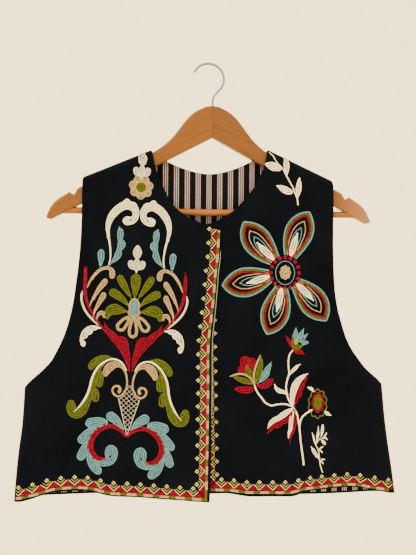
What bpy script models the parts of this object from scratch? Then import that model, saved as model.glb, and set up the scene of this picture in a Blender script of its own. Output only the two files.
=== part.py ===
"""Waist-length sleeveless vest, open at the front, on a flat wooden hanger with a wire hook.

Units are metres and +Z is up. The origin is the inside of the hook's top, where the hook
bears on whatever holds it. The fronts face -Y. +X is the wearer's left.
"""

import math

import bmesh
import bpy
import numpy as np
from mathutils import Matrix, Vector

# ---- cloth ---------------------------------------------------------------
SHELL_WALL = 0.0015
LINING_WALL = 0.0010
GAP = 0.0003
HALF_GAP = GAP / 2

GARMENT_X = 0.0026  # the garment's middle, beside the hook's seat
NECK_HALF = 0.0810
SHOULDER_HALF = 0.1715
NECK_POINT_Z = {-1: -0.1205, 1: -0.1162}  # the wearer's right is -1, the left is 1
SHOULDER_TIP_Z = {-1: -0.1592, 1: -0.1572}
BACK_NECK_Z = -0.1505
BACK_NECK_POWER = 1.75
UNDERARM_Z = -0.4455
HEM_Z = -0.6000

# Armhole and side seam: height, half width on the wearer's right, half width on the left.
OUTLINE = (
    (-0.6000, 0.2626, 0.2688),
    (-0.5660, 0.2602, 0.2640),
    (-0.5350, 0.2573, 0.2590),
    (-0.4950, 0.2524, 0.2534),
    (-0.4455, 0.2495, 0.2485),
    (-0.4340, 0.2375, 0.2357),
    (-0.4240, 0.2262, 0.2243),
    (-0.4110, 0.2142, 0.2138),
    (-0.3950, 0.2053, 0.2024),
    (-0.3800, 0.1983, 0.1946),
    (-0.3600, 0.1913, 0.1876),
    (-0.3350, 0.1853, 0.1804),
    (-0.3050, 0.1808, 0.1758),
    (-0.2700, 0.1767, 0.1737),
    (-0.2400, 0.1745, 0.1731),
    (-0.2050, 0.1735, 0.1732),
    (-0.1680, 0.1732, 0.1730),
    (-0.1572, 0.1715, 0.1715),
)

# Front edge of the upper front, from hem to neck: x, height.
RIGHT_EDGE = (
    (0.0011, -0.6025),
    (0.0018, -0.5720),
    (0.0026, -0.4900),
    (0.0029, -0.4360),
    (0.0026, -0.4070),
    (0.0027, -0.3870),
    (0.0055, -0.3530),
    (0.0080, -0.3260),
    (0.0108, -0.2880),
    (0.0129, -0.2690),
    (0.0147, -0.2295),
)
# Front edge of the front beneath it, straight.
LEFT_EDGE = (
    (-0.0060, -0.5885),
    (-0.0060, -0.2225),
)
# Necklines, from the front edge to the neck point: x, height.
RIGHT_NECK = (
    (0.0147, -0.2295),
    (-0.0020, -0.2245),
    (-0.0185, -0.2188),
    (-0.0380, -0.2085),
    (-0.0500, -0.1980),
    (-0.0580, -0.1865),
    (-0.0655, -0.1715),
    (-0.0720, -0.1570),
    (-0.0765, -0.1430),
    (-0.0810, -0.1205),
)
LEFT_NECK = (
    (-0.0060, -0.2225),
    (0.0047, -0.2200),
    (0.0174, -0.2135),
    (0.0316, -0.2044),
    (0.0430, -0.1935),
    (0.0534, -0.1812),
    (0.0618, -0.1700),
    (0.0704, -0.1530),
    (0.0757, -0.1400),
    (0.0810, -0.1162),
)

# Hems, from the wearer's right to the left: x, height.
RIGHT_HEM = (
    (-0.2626, -0.6000),
    (-0.2370, -0.5892),
    (-0.2190, -0.5840),
    (-0.1990, -0.5802),
    (-0.1780, -0.5808),
    (-0.1600, -0.5828),
    (-0.1410, -0.5885),
    (-0.1136, -0.5948),
    (-0.0810, -0.5972),
    (-0.0320, -0.6008),
    (0.0011, -0.6025),
)
LEFT_HEM = (
    (-0.0060, -0.5885),
    (0.0237, -0.5924),
    (0.0592, -0.5959),
    (0.1111, -0.5985),
    (0.1400, -0.5938),
    (0.1660, -0.5900),
    (0.1853, -0.5868),
    (0.2046, -0.5860),
    (0.2240, -0.5888),
    (0.2434, -0.5930),
    (0.2688, -0.6000),
)
BACK_HEM = (
    (-0.2626, -0.6000),
    (-0.2370, -0.5925),
    (-0.2000, -0.5880),
    (-0.1700, -0.5880),
    (-0.1400, -0.5905),
    (0.0000, -0.5920),
    (0.1500, -0.5945),
    (0.1900, -0.5965),
    (0.2300, -0.5968),
    (0.2688, -0.6000),
)

# ---- depth of the hollow between fronts and back --------------------------
SHOULDER_DEPTH = 0.0086  # half the hollow over the hanger's arms
NECK_RISE = 0.70  # slope of the line that the cloth rolls over, inside the neck
HEM_DEPTH = 0.0110
SIDE_RISE = 0.110  # how far from a side seam the hollow is at full depth
ARMHOLE_RISE = 0.060
ARMHOLE_CLOSE = 0.190  # the armhole's edges draw together over this height
OVERLAP_LIFT = 0.0034  # the upper front clears the front beneath it
OVERLAP_FROM = -0.060
OVERLAP_FULL = -0.016

# Soft vertical folds: middle x, half width, depth outwards, height where it starts.
FRONT_FOLDS = (
    (-0.190, 0.040, -0.0055, -0.400),
    (-0.095, 0.045, 0.0040, -0.330),
    (0.062, 0.030, -0.0020, -0.300),
    (0.115, 0.040, 0.0055, -0.360),
    (0.200, 0.040, -0.0055, -0.420),
)
BACK_FOLDS = (
    (-0.150, 0.045, 0.0040, -0.360),
    (-0.040, 0.040, -0.0030, -0.330),
    (0.060, 0.045, 0.0035, -0.300),
    (0.165, 0.045, -0.0030, -0.380),
)

# ---- grids ----------------------------------------------------------------
SKIRT_ROWS = 6
SIDE_HEIGHTS = (-0.434, -0.424, -0.411, -0.395, -0.375, -0.348, -0.312, -0.270)
YOKE_ROWS = 8
YOKE_TOP = 0.0125  # how far below the shoulder seam the roll begins
ROLL = (0.0070, 0.0033, 0.0009, 0.0)
FRONT_COLUMNS = (0.0, 0.012, 0.035, 0.08, 0.16, 0.27, 0.39, 0.52, 0.65, 0.78, 0.90, 1.0)
NECK_COLUMN = 0.472
BACK_COLUMNS = (1.0, 0.988, 0.965, 0.92, 0.85, 0.76, 0.66, 0.56,
                NECK_COLUMN, 0.462, 0.445, 0.41, 0.33, 0.22, 0.11)
LINING_SKIP = 2  # columns at each side seam that the lining leaves out
LINING_INSET = 0.0010
LINING_DEPTHS = (GAP, GAP + LINING_WALL)  # of its two faces, inside the shell
LINING_PEEP = 0.0009  # the upper front's lining stands out of its edge here
PEEP_HEIGHTS = (-0.372, -0.285)

# ---- hanger ---------------------------------------------------------------
HANGER_X = 0.0058
ARM_THICKNESS = 0.012
ARM_TOP_ROUND = 0.0045
ARM_FOOT_ROUND = 0.0020
MITRE_FOOT_Z = -0.1015
ARM_SLOPE = 0.5307
# Top of an arm: distance from the middle, height.
ARM_TOP = (
    (0.0000, -0.0570),
    (0.0090, -0.0583),
    (0.0187, -0.0629),
    (0.0257, -0.0672),
    (0.0315, -0.0723),
    (0.0372, -0.0785),
    (0.0424, -0.0853),
    (0.0480, -0.0930),
    (0.0536, -0.1002),
    (0.0595, -0.1066),
    (0.0654, -0.1120),
    (0.0725, -0.1176),
    (0.0800, -0.1226),
    (0.1300, -0.1479),
    (0.1775, -0.1720),
    (0.1838, -0.1752),
    (0.1862, -0.1800),
    (0.1885, -0.1835),
    (0.1912, -0.1828),
    (0.1945, -0.1800),
    (0.2020, -0.1850),
    (0.2090, -0.1893),
    (0.2150, -0.1948),
    (0.2195, -0.2010),
    (0.2225, -0.2075),
    (0.2245, -0.2135),
)
ARM_TIP = (0.2245, -0.2162)
ARM_CORNER = (0.2195, -0.2180)
BAR_RADIUS = 0.0045
BAR_HALF = 0.2050
BAR_Z = -0.2052
SOCKET_FROM = 0.150
SOCKET_SPARE = 0.0015

WIRE_RADIUS = 0.0017
HOOK_RADIUS = 0.0215
HOOK_FROM = 157  # degrees, at the tip
HOOK_TO = -38
HOOK_STEP = 13
# The wire's way from the arc down into the wood: x, height.
HOOK_STEM = (
    (0.0103, -0.0400),
    (0.0073, -0.0445),
    (0.0060, -0.0492),
    (HANGER_X, -0.0540),
    (HANGER_X, -0.0600),
    (HANGER_X, -0.0740),
)
STEM_HOLE_TOP_Z = -0.0500
STEM_HOLE_FOOT_Z = -0.0750


def column(table, at, key=0, value=1):
    """A table's value column read at a height or place in its key column."""
    rows = sorted(table, key=lambda row: row[key])
    return float(np.interp(at, [r[key] for r in rows], [r[value] for r in rows]))


def smooth(t):
    t = min(max(t, 0.0), 1.0)
    return t * t * (3 - 2 * t)


def half_width(z, side):
    """Half width of the garment's outline at a height, wall included."""
    wide = column(OUTLINE, z, 0, 1 if side < 0 else 2)
    return wide - SHELL_WALL if z <= UNDERARM_Z else wide


def shoulder_z(x, side):
    """Height of the shoulder seam's inner line, carried on up the arm inside the neck."""
    t = (abs(x) - NECK_HALF) / (SHOULDER_HALF - NECK_HALF)
    top = NECK_POINT_Z[side] + (SHOULDER_TIP_Z[side] - NECK_POINT_Z[side]) * max(t, 0.0)
    return top - SHELL_WALL + NECK_RISE * max(NECK_HALF - abs(x), 0.0)


def edge_depth(z):
    """Half depth of the hollow at the garment's outline: a seam below, an armhole above."""
    if z <= UNDERARM_Z:
        return HALF_GAP
    open_share = smooth((z - UNDERARM_Z) / ARMHOLE_CLOSE)
    return HALF_GAP + (SHOULDER_DEPTH - HALF_GAP) * open_share


def folds(x, z, table):
    total = 0.0
    for middle, half, depth, start in table:
        grown = smooth((start - z) / (start - HEM_Z))
        total += depth * grown * math.exp(-(((x - middle) / half) ** 2))
    return total


def depth(x, z, side, table, lifted):
    """Half depth of the hollow at a place on a panel's inner face."""
    inward = max(half_width(z, side) - abs(x), 0.0)
    reach = SIDE_RISE if z <= UNDERARM_Z else ARMHOLE_RISE + (SIDE_RISE - ARMHOLE_RISE) * (
        1 - smooth((z - UNDERARM_Z) / ARMHOLE_CLOSE))
    share = min(inward / reach, 1.0)
    rise = (1 - (1 - share) ** 2) ** 0.75
    down = smooth((SHOULDER_TIP_Z[side] - z) / (SHOULDER_TIP_Z[side] - HEM_Z))
    middle = SHOULDER_DEPTH + (HEM_DEPTH - SHOULDER_DEPTH) * down
    flat = edge_depth(z)
    flat += (middle - flat) * rise
    flat += folds(x, z, table) * rise
    if lifted:
        flat += OVERLAP_LIFT * smooth((x - OVERLAP_FROM) / (OVERLAP_FULL - OVERLAP_FROM))
    below = max(shoulder_z(x, side) - z, 0.0)
    near = min(below / SHOULDER_DEPTH, 1.0)
    return HALF_GAP + (flat - HALF_GAP) * math.sqrt(max(1 - (1 - near) ** 2, 0.0))


def along(points, share):
    """A point at a share of a polyline's length."""
    points = np.array(points, float)
    steps = np.concatenate([[0], np.cumsum(np.linalg.norm(np.diff(points, axis=0), axis=1))])
    at = share * steps[-1]
    return np.array([np.interp(at, steps, points[:, k]) for k in range(2)])


def outer_heights(side):
    """Heights of a panel's rows on its outer edge, from hem to shoulder."""
    rows = list(np.linspace(HEM_Z, UNDERARM_Z, SKIRT_ROWS + 1))
    rows += list(SIDE_HEIGHTS)
    tip = shoulder_z(SHOULDER_HALF, side)
    rows += list(np.linspace(SIDE_HEIGHTS[-1], tip - YOKE_TOP, YOKE_ROWS + 1))[1:]
    rows += [tip - down for down in ROLL]
    return rows


def front_grid(side, edge, neck, hem, lifted):
    """Inner face of a front: rows from hem to shoulder, columns from the side to the edge."""
    heights = outer_heights(side)
    inner_z = list(np.linspace(edge[0][1], UNDERARM_Z, SKIRT_ROWS + 1))
    inner_z += list(np.linspace(UNDERARM_Z, edge[-1][1], len(SIDE_HEIGHTS) + 1))[1:]
    inner = [(column(edge, z, 1, 0), z) for z in inner_z]
    neck = [(x, min(z, shoulder_z(x, side))) for x, z in neck]
    neck_top = neck[-1][1]
    roll_z = neck_top - YOKE_TOP
    low = [p for p in neck if p[1] < roll_z] + [(column(neck, roll_z, 1, 0), roll_z)]
    inner += [tuple(along(low, k / YOKE_ROWS)) for k in range(1, YOKE_ROWS + 1)]
    inner += [(column(neck, neck_top - down, 1, 0), neck_top - down) for down in ROLL]
    grid = []
    for row, (z_out, (x_in, z_in)) in enumerate(zip(heights, inner)):
        x_out = side * half_width(z_out, side)
        fade = max(1 - row / SKIRT_ROWS, 0.0)
        line = []
        for share in FRONT_COLUMNS:
            x = x_out + (x_in - x_out) * share
            z = z_out + (z_in - z_out) * share
            z += (column(hem, x) - (HEM_Z + (edge[0][1] - HEM_Z) * share)) * fade
            line.append((x + GARMENT_X, -depth(x, z, side, FRONT_FOLDS, lifted), z))
        grid.append(line)
    return np.array(grid)


def back_top(x, side):
    """Height of the back's upper edge: neckline in the middle, shoulder seams beyond it."""
    if abs(x) >= NECK_HALF:
        return shoulder_z(x, side)
    point = shoulder_z(NECK_HALF, side)
    return BACK_NECK_Z + (point - BACK_NECK_Z) * (abs(x) / NECK_HALF) ** BACK_NECK_POWER


def back_grid():
    """Inner face of the back: rows from hem to neck and shoulders, columns side to side."""
    columns = [-u for u in BACK_COLUMNS] + [0.0] + list(reversed(BACK_COLUMNS))
    grid = []
    for row in range(len(outer_heights(1))):
        line = []
        for u in columns:
            side = -1 if u < 0 else 1
            z_out = outer_heights(side)[row]
            x = u * half_width(z_out, side)
            if z_out <= UNDERARM_Z:
                fade = max(1 - row / SKIRT_ROWS, 0.0)
                z = z_out + (column(BACK_HEM, x) - HEM_Z) * fade
            else:
                tip = shoulder_z(SHOULDER_HALF, side)
                share = (z_out - UNDERARM_Z) / (tip - UNDERARM_Z)
                top_x = u * SHOULDER_HALF
                z = UNDERARM_Z + share * (back_top(top_x, side) - UNDERARM_Z)
            line.append((x + GARMENT_X, depth(x, z, side, BACK_FOLDS, False), z))
        grid.append(line)
    return np.array(grid)


def outward(grid, front, seam_top, seam_sides):
    """Unit normals of a grid's points; along a seam they stay square to the seam's plane."""
    quads = np.cross(grid[1:, 1:] - grid[:-1, :-1], grid[1:, :-1] - grid[:-1, 1:])
    facing = -1.0 if front else 1.0
    quads *= np.where(quads[..., 1:2] * facing < 0, -1.0, 1.0)
    quads /= np.linalg.norm(quads, axis=2, keepdims=True)
    normal = np.zeros_like(grid)
    for i in (0, 1):
        for j in (0, 1):
            normal[i:len(quads) + i, j:quads.shape[1] + j] += quads
    for j in seam_sides:
        rows = grid[:, j, 2] <= UNDERARM_Z + HALF_GAP
        sign = np.sign(grid[rows, j, 0] - GARMENT_X)
        normal[rows, j] = np.stack([sign, 0 * sign, 0 * sign], axis=1)
    for j in seam_top:
        side = np.sign(grid[-1, j, 0] - GARMENT_X)
        run = SHOULDER_HALF - NECK_HALF
        drop = SHOULDER_TIP_Z[int(side)] - NECK_POINT_Z[int(side)]
        normal[-1, j] = (-drop * side, 0.0, run)
    return normal / np.linalg.norm(normal, axis=2, keepdims=True)


def new_object(name, mesh, finish):
    obj = bpy.data.objects.new(name, mesh)
    bpy.context.scene.collection.objects.link(obj)
    obj.data.materials.append(finish)
    return obj


def wall(name, inner, outer, finish):
    """A closed wall between an inner and an outer grid of points."""
    rows, columns = inner.shape[:2]
    points = np.concatenate([inner.reshape(-1, 3), outer.reshape(-1, 3)])
    other = rows * columns
    faces = []
    for i in range(rows - 1):
        for j in range(columns - 1):
            a = i * columns + j
            b, c, d = a + 1, a + columns + 1, a + columns
            for face in ((a, b, c), (a, c, d)):
                faces.append(face)
                faces.append(tuple(other + k for k in reversed(face)))
    rim = [(0, j) for j in range(columns)]
    rim += [(i, columns - 1) for i in range(1, rows)]
    rim += [(rows - 1, j) for j in range(columns - 2, -1, -1)]
    rim += [(i, 0) for i in range(rows - 2, 0, -1)]
    loop = [i * columns + j for i, j in rim]
    for a, b in zip(loop, loop[1:] + loop[:1]):
        faces.append((b, a, other + a, other + b))
    mesh = bpy.data.meshes.new(name)
    mesh.from_pydata([tuple(p) for p in points], [], faces)
    tidy = bmesh.new()
    tidy.from_mesh(mesh)
    bmesh.ops.recalc_face_normals(tidy, faces=tidy.faces)
    tidy.to_mesh(mesh)
    tidy.free()
    mesh.shade_smooth()
    mesh.set_sharp_from_angle(angle=math.radians(40))
    return new_object(name, mesh, finish)


def moved(points, towards, by):
    """Points slid towards their neighbours by a distance, or away from them if negative."""
    way = towards - points
    length = np.linalg.norm(way, axis=-1, keepdims=True)
    share = np.minimum(np.broadcast_to(np.asarray(by), length.shape) / length, 0.6)
    return points + way * share


def front_lining_face(face, peep):
    """One face of a front's lining: no seam allowance, and drawn in from the open edges."""
    lining = face[:, LINING_SKIP:].copy()
    inset = np.full((len(lining), 1), LINING_INSET)
    if peep:
        low, high = PEEP_HEIGHTS
        z = lining[:, -1, 2]
        inset[(z > low) & (z < high)] = -LINING_PEEP
    lining[:, -1] = moved(lining[:, -1], lining[:, -2], inset)
    lining[0] = moved(lining[0], lining[1], LINING_INSET)
    return lining


def back_lining_face(face):
    """One face of the back's lining, drawn in from the hem and the neckline."""
    lining = face[:, LINING_SKIP:-LINING_SKIP].copy()
    lining[0] = moved(lining[0], lining[1], LINING_INSET)
    open_neck = np.abs(lining[-1, :, 0] - GARMENT_X) < NECK_HALF - LINING_INSET
    drawn = moved(lining[-1], lining[-2], LINING_INSET)
    lining[-1, open_neck] = drawn[open_neck]
    return lining


def material(name, colour, roughness, metallic=0.0):
    made = bpy.data.materials.new(name)
    made.use_nodes = True
    shader = made.node_tree.nodes["Principled BSDF"]
    shader.inputs["Base Color"].default_value = (*colour, 1.0)
    shader.inputs["Roughness"].default_value = roughness
    shader.inputs["Metallic"].default_value = metallic
    return made


def build_panels(cloth, stripes):
    panels = (
        ("front_right", -1, RIGHT_EDGE, RIGHT_NECK, RIGHT_HEM, True),
        ("front_left", 1, LEFT_EDGE, LEFT_NECK, LEFT_HEM, False),
    )
    for name, side, edge, neck, hem, lifted in panels:
        grid = front_grid(side, edge, neck, hem, lifted)
        normals = outward(grid, True, range(grid.shape[1]), [0])
        wall(name, grid, grid + normals * SHELL_WALL, cloth)
        faces = [front_lining_face(grid - normals * deep, lifted) for deep in LINING_DEPTHS]
        wall(name + "_lining", faces[1], faces[0], stripes)
    grid = back_grid()
    middle = len(BACK_COLUMNS)
    seam = middle - BACK_COLUMNS.index(NECK_COLUMN)
    shoulders = [j for j in range(grid.shape[1]) if abs(j - middle) >= seam]
    normals = outward(grid, False, shoulders, [0, -1])
    wall("back", grid, grid + normals * SHELL_WALL, cloth)
    faces = [back_lining_face(grid - normals * deep) for deep in LINING_DEPTHS]
    wall("back_lining", faces[1], faces[0], stripes)


def arm_section(top, foot):
    """Half a rounded section of an arm: depth and height, from the middle of the top down."""
    half = ARM_THICKNESS / 2
    tall = top - foot
    points = []
    for radius, centre_z, start in ((ARM_TOP_ROUND, 1, 90), (ARM_FOOT_ROUND, 0, 0)):
        radius = min(radius, tall * 0.45)
        at = top - radius if centre_z else foot + radius
        for k in range(4):
            turn = math.radians(start - 30 * k)
            points.append((half - radius + radius * math.cos(turn), at + radius * math.sin(turn)))
    return points


def hanger_arm(name, side, finish):
    """An arm lofted through upright sections from the mitre to its tip."""
    rings = []
    for out, top in ARM_TOP:
        foot = max(MITRE_FOOT_Z - ARM_SLOPE * out, ARM_CORNER[1])
        if out > ARM_CORNER[0]:
            share = (out - ARM_CORNER[0]) / (ARM_TIP[0] - ARM_CORNER[0])
            foot = ARM_CORNER[1] + (ARM_TIP[1] - ARM_CORNER[1]) * share
        half = arm_section(top, foot)
        x = HANGER_X + side * (out + HALF_GAP)
        ring = [(x, y, z) for y, z in half] + [(x, -y, z) for y, z in reversed(half)]
        rings.append(ring)
    count = len(rings[0])
    points = [p for ring in rings for p in ring]
    faces = [tuple(range(count)), tuple(range(len(points) - 1, len(points) - 1 - count, -1))]
    for i in range(len(rings) - 1):
        for j in range(count):
            k = (j + 1) % count
            faces.append((i * count + j, i * count + k, (i + 1) * count + k, (i + 1) * count + j))
    mesh = bpy.data.meshes.new(name)
    mesh.from_pydata(points, [], faces)
    tidy = bmesh.new()
    tidy.from_mesh(mesh)
    bmesh.ops.recalc_face_normals(tidy, faces=tidy.faces)
    tidy.to_mesh(mesh)
    tidy.free()
    mesh.shade_smooth()
    mesh.set_sharp_from_angle(angle=math.radians(35))
    return new_object(name, mesh, finish)


def cylinder(name, radius, start, end, sides):
    """A closed cylinder from one point to another."""
    way = Vector(end) - Vector(start)
    place = Matrix.Translation((Vector(start) + Vector(end)) / 2)
    turn = way.to_track_quat("Z", "Y").to_matrix().to_4x4()
    made = bmesh.new()
    bmesh.ops.create_cone(made, cap_ends=True, segments=sides, radius1=radius, radius2=radius,
                          depth=way.length, matrix=place @ turn)
    mesh = bpy.data.meshes.new(name)
    made.to_mesh(mesh)
    made.free()
    return mesh


def cut(obj, name, mesh):
    cutter = bpy.data.objects.new(name, mesh)
    bpy.context.scene.collection.objects.link(cutter)
    cutter.hide_render = True
    cutter.display_type = "WIRE"
    boolean = obj.modifiers.new(name, "BOOLEAN")
    boolean.operation = "DIFFERENCE"
    boolean.solver = "EXACT"
    boolean.object = cutter


def build_hanger(wood, bar_wood, steel):
    for name, side in (("hanger_arm_right", -1), ("hanger_arm_left", 1)):
        arm = hanger_arm(name, side, wood)
        inside = (HANGER_X + side * SOCKET_FROM, 0.0, BAR_Z)
        end = (HANGER_X + side * (BAR_HALF + SOCKET_SPARE), 0.0, BAR_Z)
        cut(arm, name + "_socket", cylinder(name + "_socket", BAR_RADIUS + GAP, inside, end, 16))
        foot = (HANGER_X, 0.0, STEM_HOLE_FOOT_Z)
        top = (HANGER_X, 0.0, STEM_HOLE_TOP_Z)
        cut(arm, name + "_stem_hole", cylinder(name + "_stem_hole", WIRE_RADIUS + GAP, foot, top, 12))
    ends = [(HANGER_X + side * BAR_HALF, 0.0, BAR_Z) for side in (-1, 1)]
    bar = cylinder("hanger_bar", BAR_RADIUS, ends[0], ends[1], 16)
    bar.shade_smooth()
    bar.set_sharp_from_angle(angle=math.radians(35))
    new_object("hanger_bar", bar, bar_wood)

    path = [(HOOK_RADIUS * math.cos(math.radians(a)),
             WIRE_RADIUS - HOOK_RADIUS + HOOK_RADIUS * math.sin(math.radians(a)))
            for a in range(HOOK_FROM, HOOK_TO - 1, -HOOK_STEP)]
    path += list(HOOK_STEM)
    curve = bpy.data.curves.new("hanger_hook", "CURVE")
    curve.dimensions = "3D"
    curve.bevel_depth = WIRE_RADIUS
    curve.bevel_resolution = 3
    curve.use_fill_caps = True
    spline = curve.splines.new("POLY")
    spline.points.add(len(path) - 1)
    for point, (x, z) in zip(spline.points, path):
        point.co = (x, 0.0, z, 1.0)
    new_object("hanger_hook", curve, steel)


def main():
    for obj in list(bpy.data.objects):
        bpy.data.objects.remove(obj)
    cloth = material("black_linen", (0.012, 0.012, 0.014), 0.9)
    stripes = material("striped_cotton_lining", (0.25, 0.21, 0.21), 0.85)
    wood = material("beech_varnished", (0.52, 0.21, 0.05), 0.35)
    bar_wood = material("beech_bar", (0.62, 0.30, 0.09), 0.4)
    steel = material("steel_wire", (0.6, 0.6, 0.62), 0.25, 1.0)
    build_panels(cloth, stripes)
    build_hanger(wood, bar_wood, steel)


main()
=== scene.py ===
# %% [markdown]
# # An embroidered folk vest on a wooden hanger
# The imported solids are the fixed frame: they say where each piece of the vest and its
# hanger is. Everything below dresses that frame with cloth, thread, wood and wire.

# %% Load the fixed frame
import math

import bmesh
import bpy
import numpy as np
from mathutils import Matrix, Vector


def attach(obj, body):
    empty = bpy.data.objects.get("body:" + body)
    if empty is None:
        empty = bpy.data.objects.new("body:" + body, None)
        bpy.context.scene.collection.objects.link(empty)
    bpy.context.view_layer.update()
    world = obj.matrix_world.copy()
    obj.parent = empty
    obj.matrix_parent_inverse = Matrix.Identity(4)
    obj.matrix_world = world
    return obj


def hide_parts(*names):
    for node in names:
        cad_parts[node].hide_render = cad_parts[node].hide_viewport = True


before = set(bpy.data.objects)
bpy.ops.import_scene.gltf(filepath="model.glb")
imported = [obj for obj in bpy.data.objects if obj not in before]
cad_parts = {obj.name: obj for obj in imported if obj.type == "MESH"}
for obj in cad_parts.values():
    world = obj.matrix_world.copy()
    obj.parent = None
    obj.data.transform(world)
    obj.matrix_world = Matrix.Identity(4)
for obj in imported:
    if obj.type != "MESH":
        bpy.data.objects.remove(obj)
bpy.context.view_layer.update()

scene = bpy.context.scene
print("frame:", ", ".join(sorted(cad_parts)))

# %% [markdown]
# ## Colours and a helper for nodes
# Dye and thread colours are easy to name as hex values, but Cycles works in linear light,
# so one function turns each hex value into linear numbers. Materials and the stitch are
# trees of nodes, and one function adds a node to a tree with its settings and links.

# %% Colours and nodes
def colour(text):
    """A linear colour from an sRGB hex value."""
    parts = [int(text[i:i + 2], 16) / 255 for i in (1, 3, 5)]
    return tuple(p / 12.92 if p <= 0.04045 else ((p + 0.055) / 1.055) ** 2.4 for p in parts) + (1.0,)


def fill(made, *inputs, **named):
    """Gives a node's sockets, in order or by name, a value or another node's output."""
    sockets = {socket.identifier.replace(" ", "_"): socket for socket in made.inputs}
    by_name = [(sockets[name], value) for name, value in named.items()]
    for socket, value in [*zip(made.inputs, inputs), *by_name]:
        if isinstance(value, bpy.types.Node):
            value = value.outputs[0]
        if isinstance(value, bpy.types.NodeSocket):
            made.id_data.links.new(value, socket)
        else:
            socket.default_value = value


def node(tree, kind, *inputs, stops=(), **named):
    """Adds a node. Names in small letters set its properties, names with a capital its sockets.

    The stops of a colour ramp are pairs of a place and a hex value.
    """
    made = tree.nodes.new(kind if "Node" in kind else "ShaderNode" + kind)
    for name in [name for name in named if name.islower()]:
        setattr(made, name, named.pop(name))
    for k, (place, tint) in enumerate(stops):
        ramp = made.color_ramp.elements
        stop = ramp[k] if k < len(ramp) else ramp.new(place)
        stop.position, stop.color = place, colour(tint)
    fill(made, *inputs, **named)
    return made


def finish(name, **values):
    """A new material and its main shader, whose constant values sit on its own sockets."""
    made = bpy.data.materials.new(name)
    made.use_nodes = True
    shader = made.node_tree.nodes["Principled BSDF"]
    fill(shader, **values)
    return made, made.node_tree, shader


def added(name, data):
    """A new object in the scene, made of a mesh, a lamp or a lens."""
    made = bpy.data.objects.new(name, data)
    scene.collection.objects.link(made)
    return made


print("black linen reads", [round(c, 4) for c in colour("#17181c")[:3]])

# %% [markdown]
# ## The camera and the soft light
# A vest on a wall is seen from about an arm's length, a little from the wearer's right.
# A 42 mm lens at 0.9 m gives that view. Three large area lights stand in for a bright
# room: broad lights give the black linen its soft sheen and the yarn its small shadows.

# %% Camera, lights and stage
AIM = (0.0012, 0.0, -0.2955)
DISTANCE = 0.9
YAW = math.radians(-5.5)
ROLL = math.radians(0.4)
FLOOR_Z = -1.6
eye = (AIM[0] + DISTANCE * math.sin(YAW), AIM[1] - DISTANCE * math.cos(YAW), AIM[2])
lens = bpy.data.cameras.new("camera")
lens.sensor_width = 36.0
lens.lens = 42.0
lens.clip_end = 50.0
scene.camera = added("camera", lens)
scene.camera.matrix_world = (Matrix.Translation(eye) @ Matrix.Rotation(YAW, 4, "Z")
                             @ Matrix.Rotation(math.pi / 2, 4, "X") @ Matrix.Rotation(ROLL, 4, "Z"))


def area_light(name, place, aim, size, watts, tint):
    """A square soft light that faces a point."""
    lamp = bpy.data.lights.new(name, "AREA")
    lamp.size = size
    lamp.energy = watts
    lamp.color = colour(tint)[:3]
    made = added(name, lamp)
    made.location = place
    made.rotation_euler = (Vector(aim) - Vector(place)).to_track_quat("-Z", "Y").to_euler()


area_light("room_light", (-1.4, -1.2, 1.5), (0, 0, -0.3), 1.2, 30, "#fff4e6")
area_light("window_light", (-2.2, -0.5, -0.7), (0, 0, -0.45), 1.2, 9, "#dfe6ff")
area_light("back_light", (0.8, 2.2, 0.9), (0, 0, -0.3), 1.8, 12, "#fff6ea")

world = bpy.data.worlds.new("pale_room")
scene.world = world
world.use_nodes = True
fill(world.node_tree.nodes["Background"], Color=colour("#f8dfa6"), Strength=3.9)

# Plaster, painted: quite matt, so it only throws soft light back.
plaster = finish("pale_plaster", Roughness=0.95, Base_Color=colour("#eee5d6"))[0]
floor_mesh = bpy.data.meshes.new("floor")
floor_corners = [(x, y, FLOOR_Z) for x, y in ((-2, -3), (2, -3), (2, 2), (-2, 2))]
floor_mesh.from_pydata(floor_corners, [], [(0, 1, 2, 3)])
floor_mesh.materials.append(plaster)
floor = added("floor", floor_mesh)
print("camera at", [round(v, 3) for v in eye])

# %% [markdown]
# ## The shape of the panels
# A vest is cut flat: two fronts and a back, joined at the shoulders and the sides. Hung
# up, it is nearly flat again, and only about two fingers deep. So each panel is described
# by its cut in the upright plane, in short tables, and by one function that says how far
# the cloth stands out from the garment's middle plane at any place. Such a function can
# be read anywhere, which later puts every stitch exactly on the cloth.

# %% Tables of the cut
SHELL_WALL = 0.0015
LINING_WALL = 0.0010
GAP = 0.0003
HALF_GAP = GAP / 2
GARMENT_X = 0.0026
NECK_HALF = 0.0810
SHOULDER_HALF = 0.1715
NECK_POINT_Z = {-1: -0.1205, 1: -0.1162}
SHOULDER_TIP_Z = {-1: -0.1592, 1: -0.1572}
BACK_NECK_Z = -0.1505
BACK_NECK_POWER = 1.75
UNDERARM_Z = -0.4455
HEM_Z = -0.6000
# Height, half width on the wearer's right, half width on the left.
SIDE_SEAM = (
    (-0.6, 0.2626, 0.2688), (-0.566, 0.2602, 0.264), (-0.535, 0.2573, 0.259), (-0.495, 0.2524, 0.2534),
    (-0.4455, 0.2495, 0.2485),
)
ARMHOLE = (
    (-0.4455, 0.2495, 0.2485), (-0.434, 0.2375, 0.2357), (-0.424, 0.2262, 0.2243), (-0.411, 0.2142, 0.2138),
    (-0.395, 0.2053, 0.2024), (-0.38, 0.1983, 0.1946), (-0.36, 0.1913, 0.1876), (-0.335, 0.1853, 0.1804),
    (-0.305, 0.1808, 0.1758), (-0.27, 0.1767, 0.1737), (-0.24, 0.1745, 0.1731), (-0.205, 0.1735, 0.1732),
    (-0.168, 0.1732, 0.173), (-0.1572, 0.1715, 0.1715),
)
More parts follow.
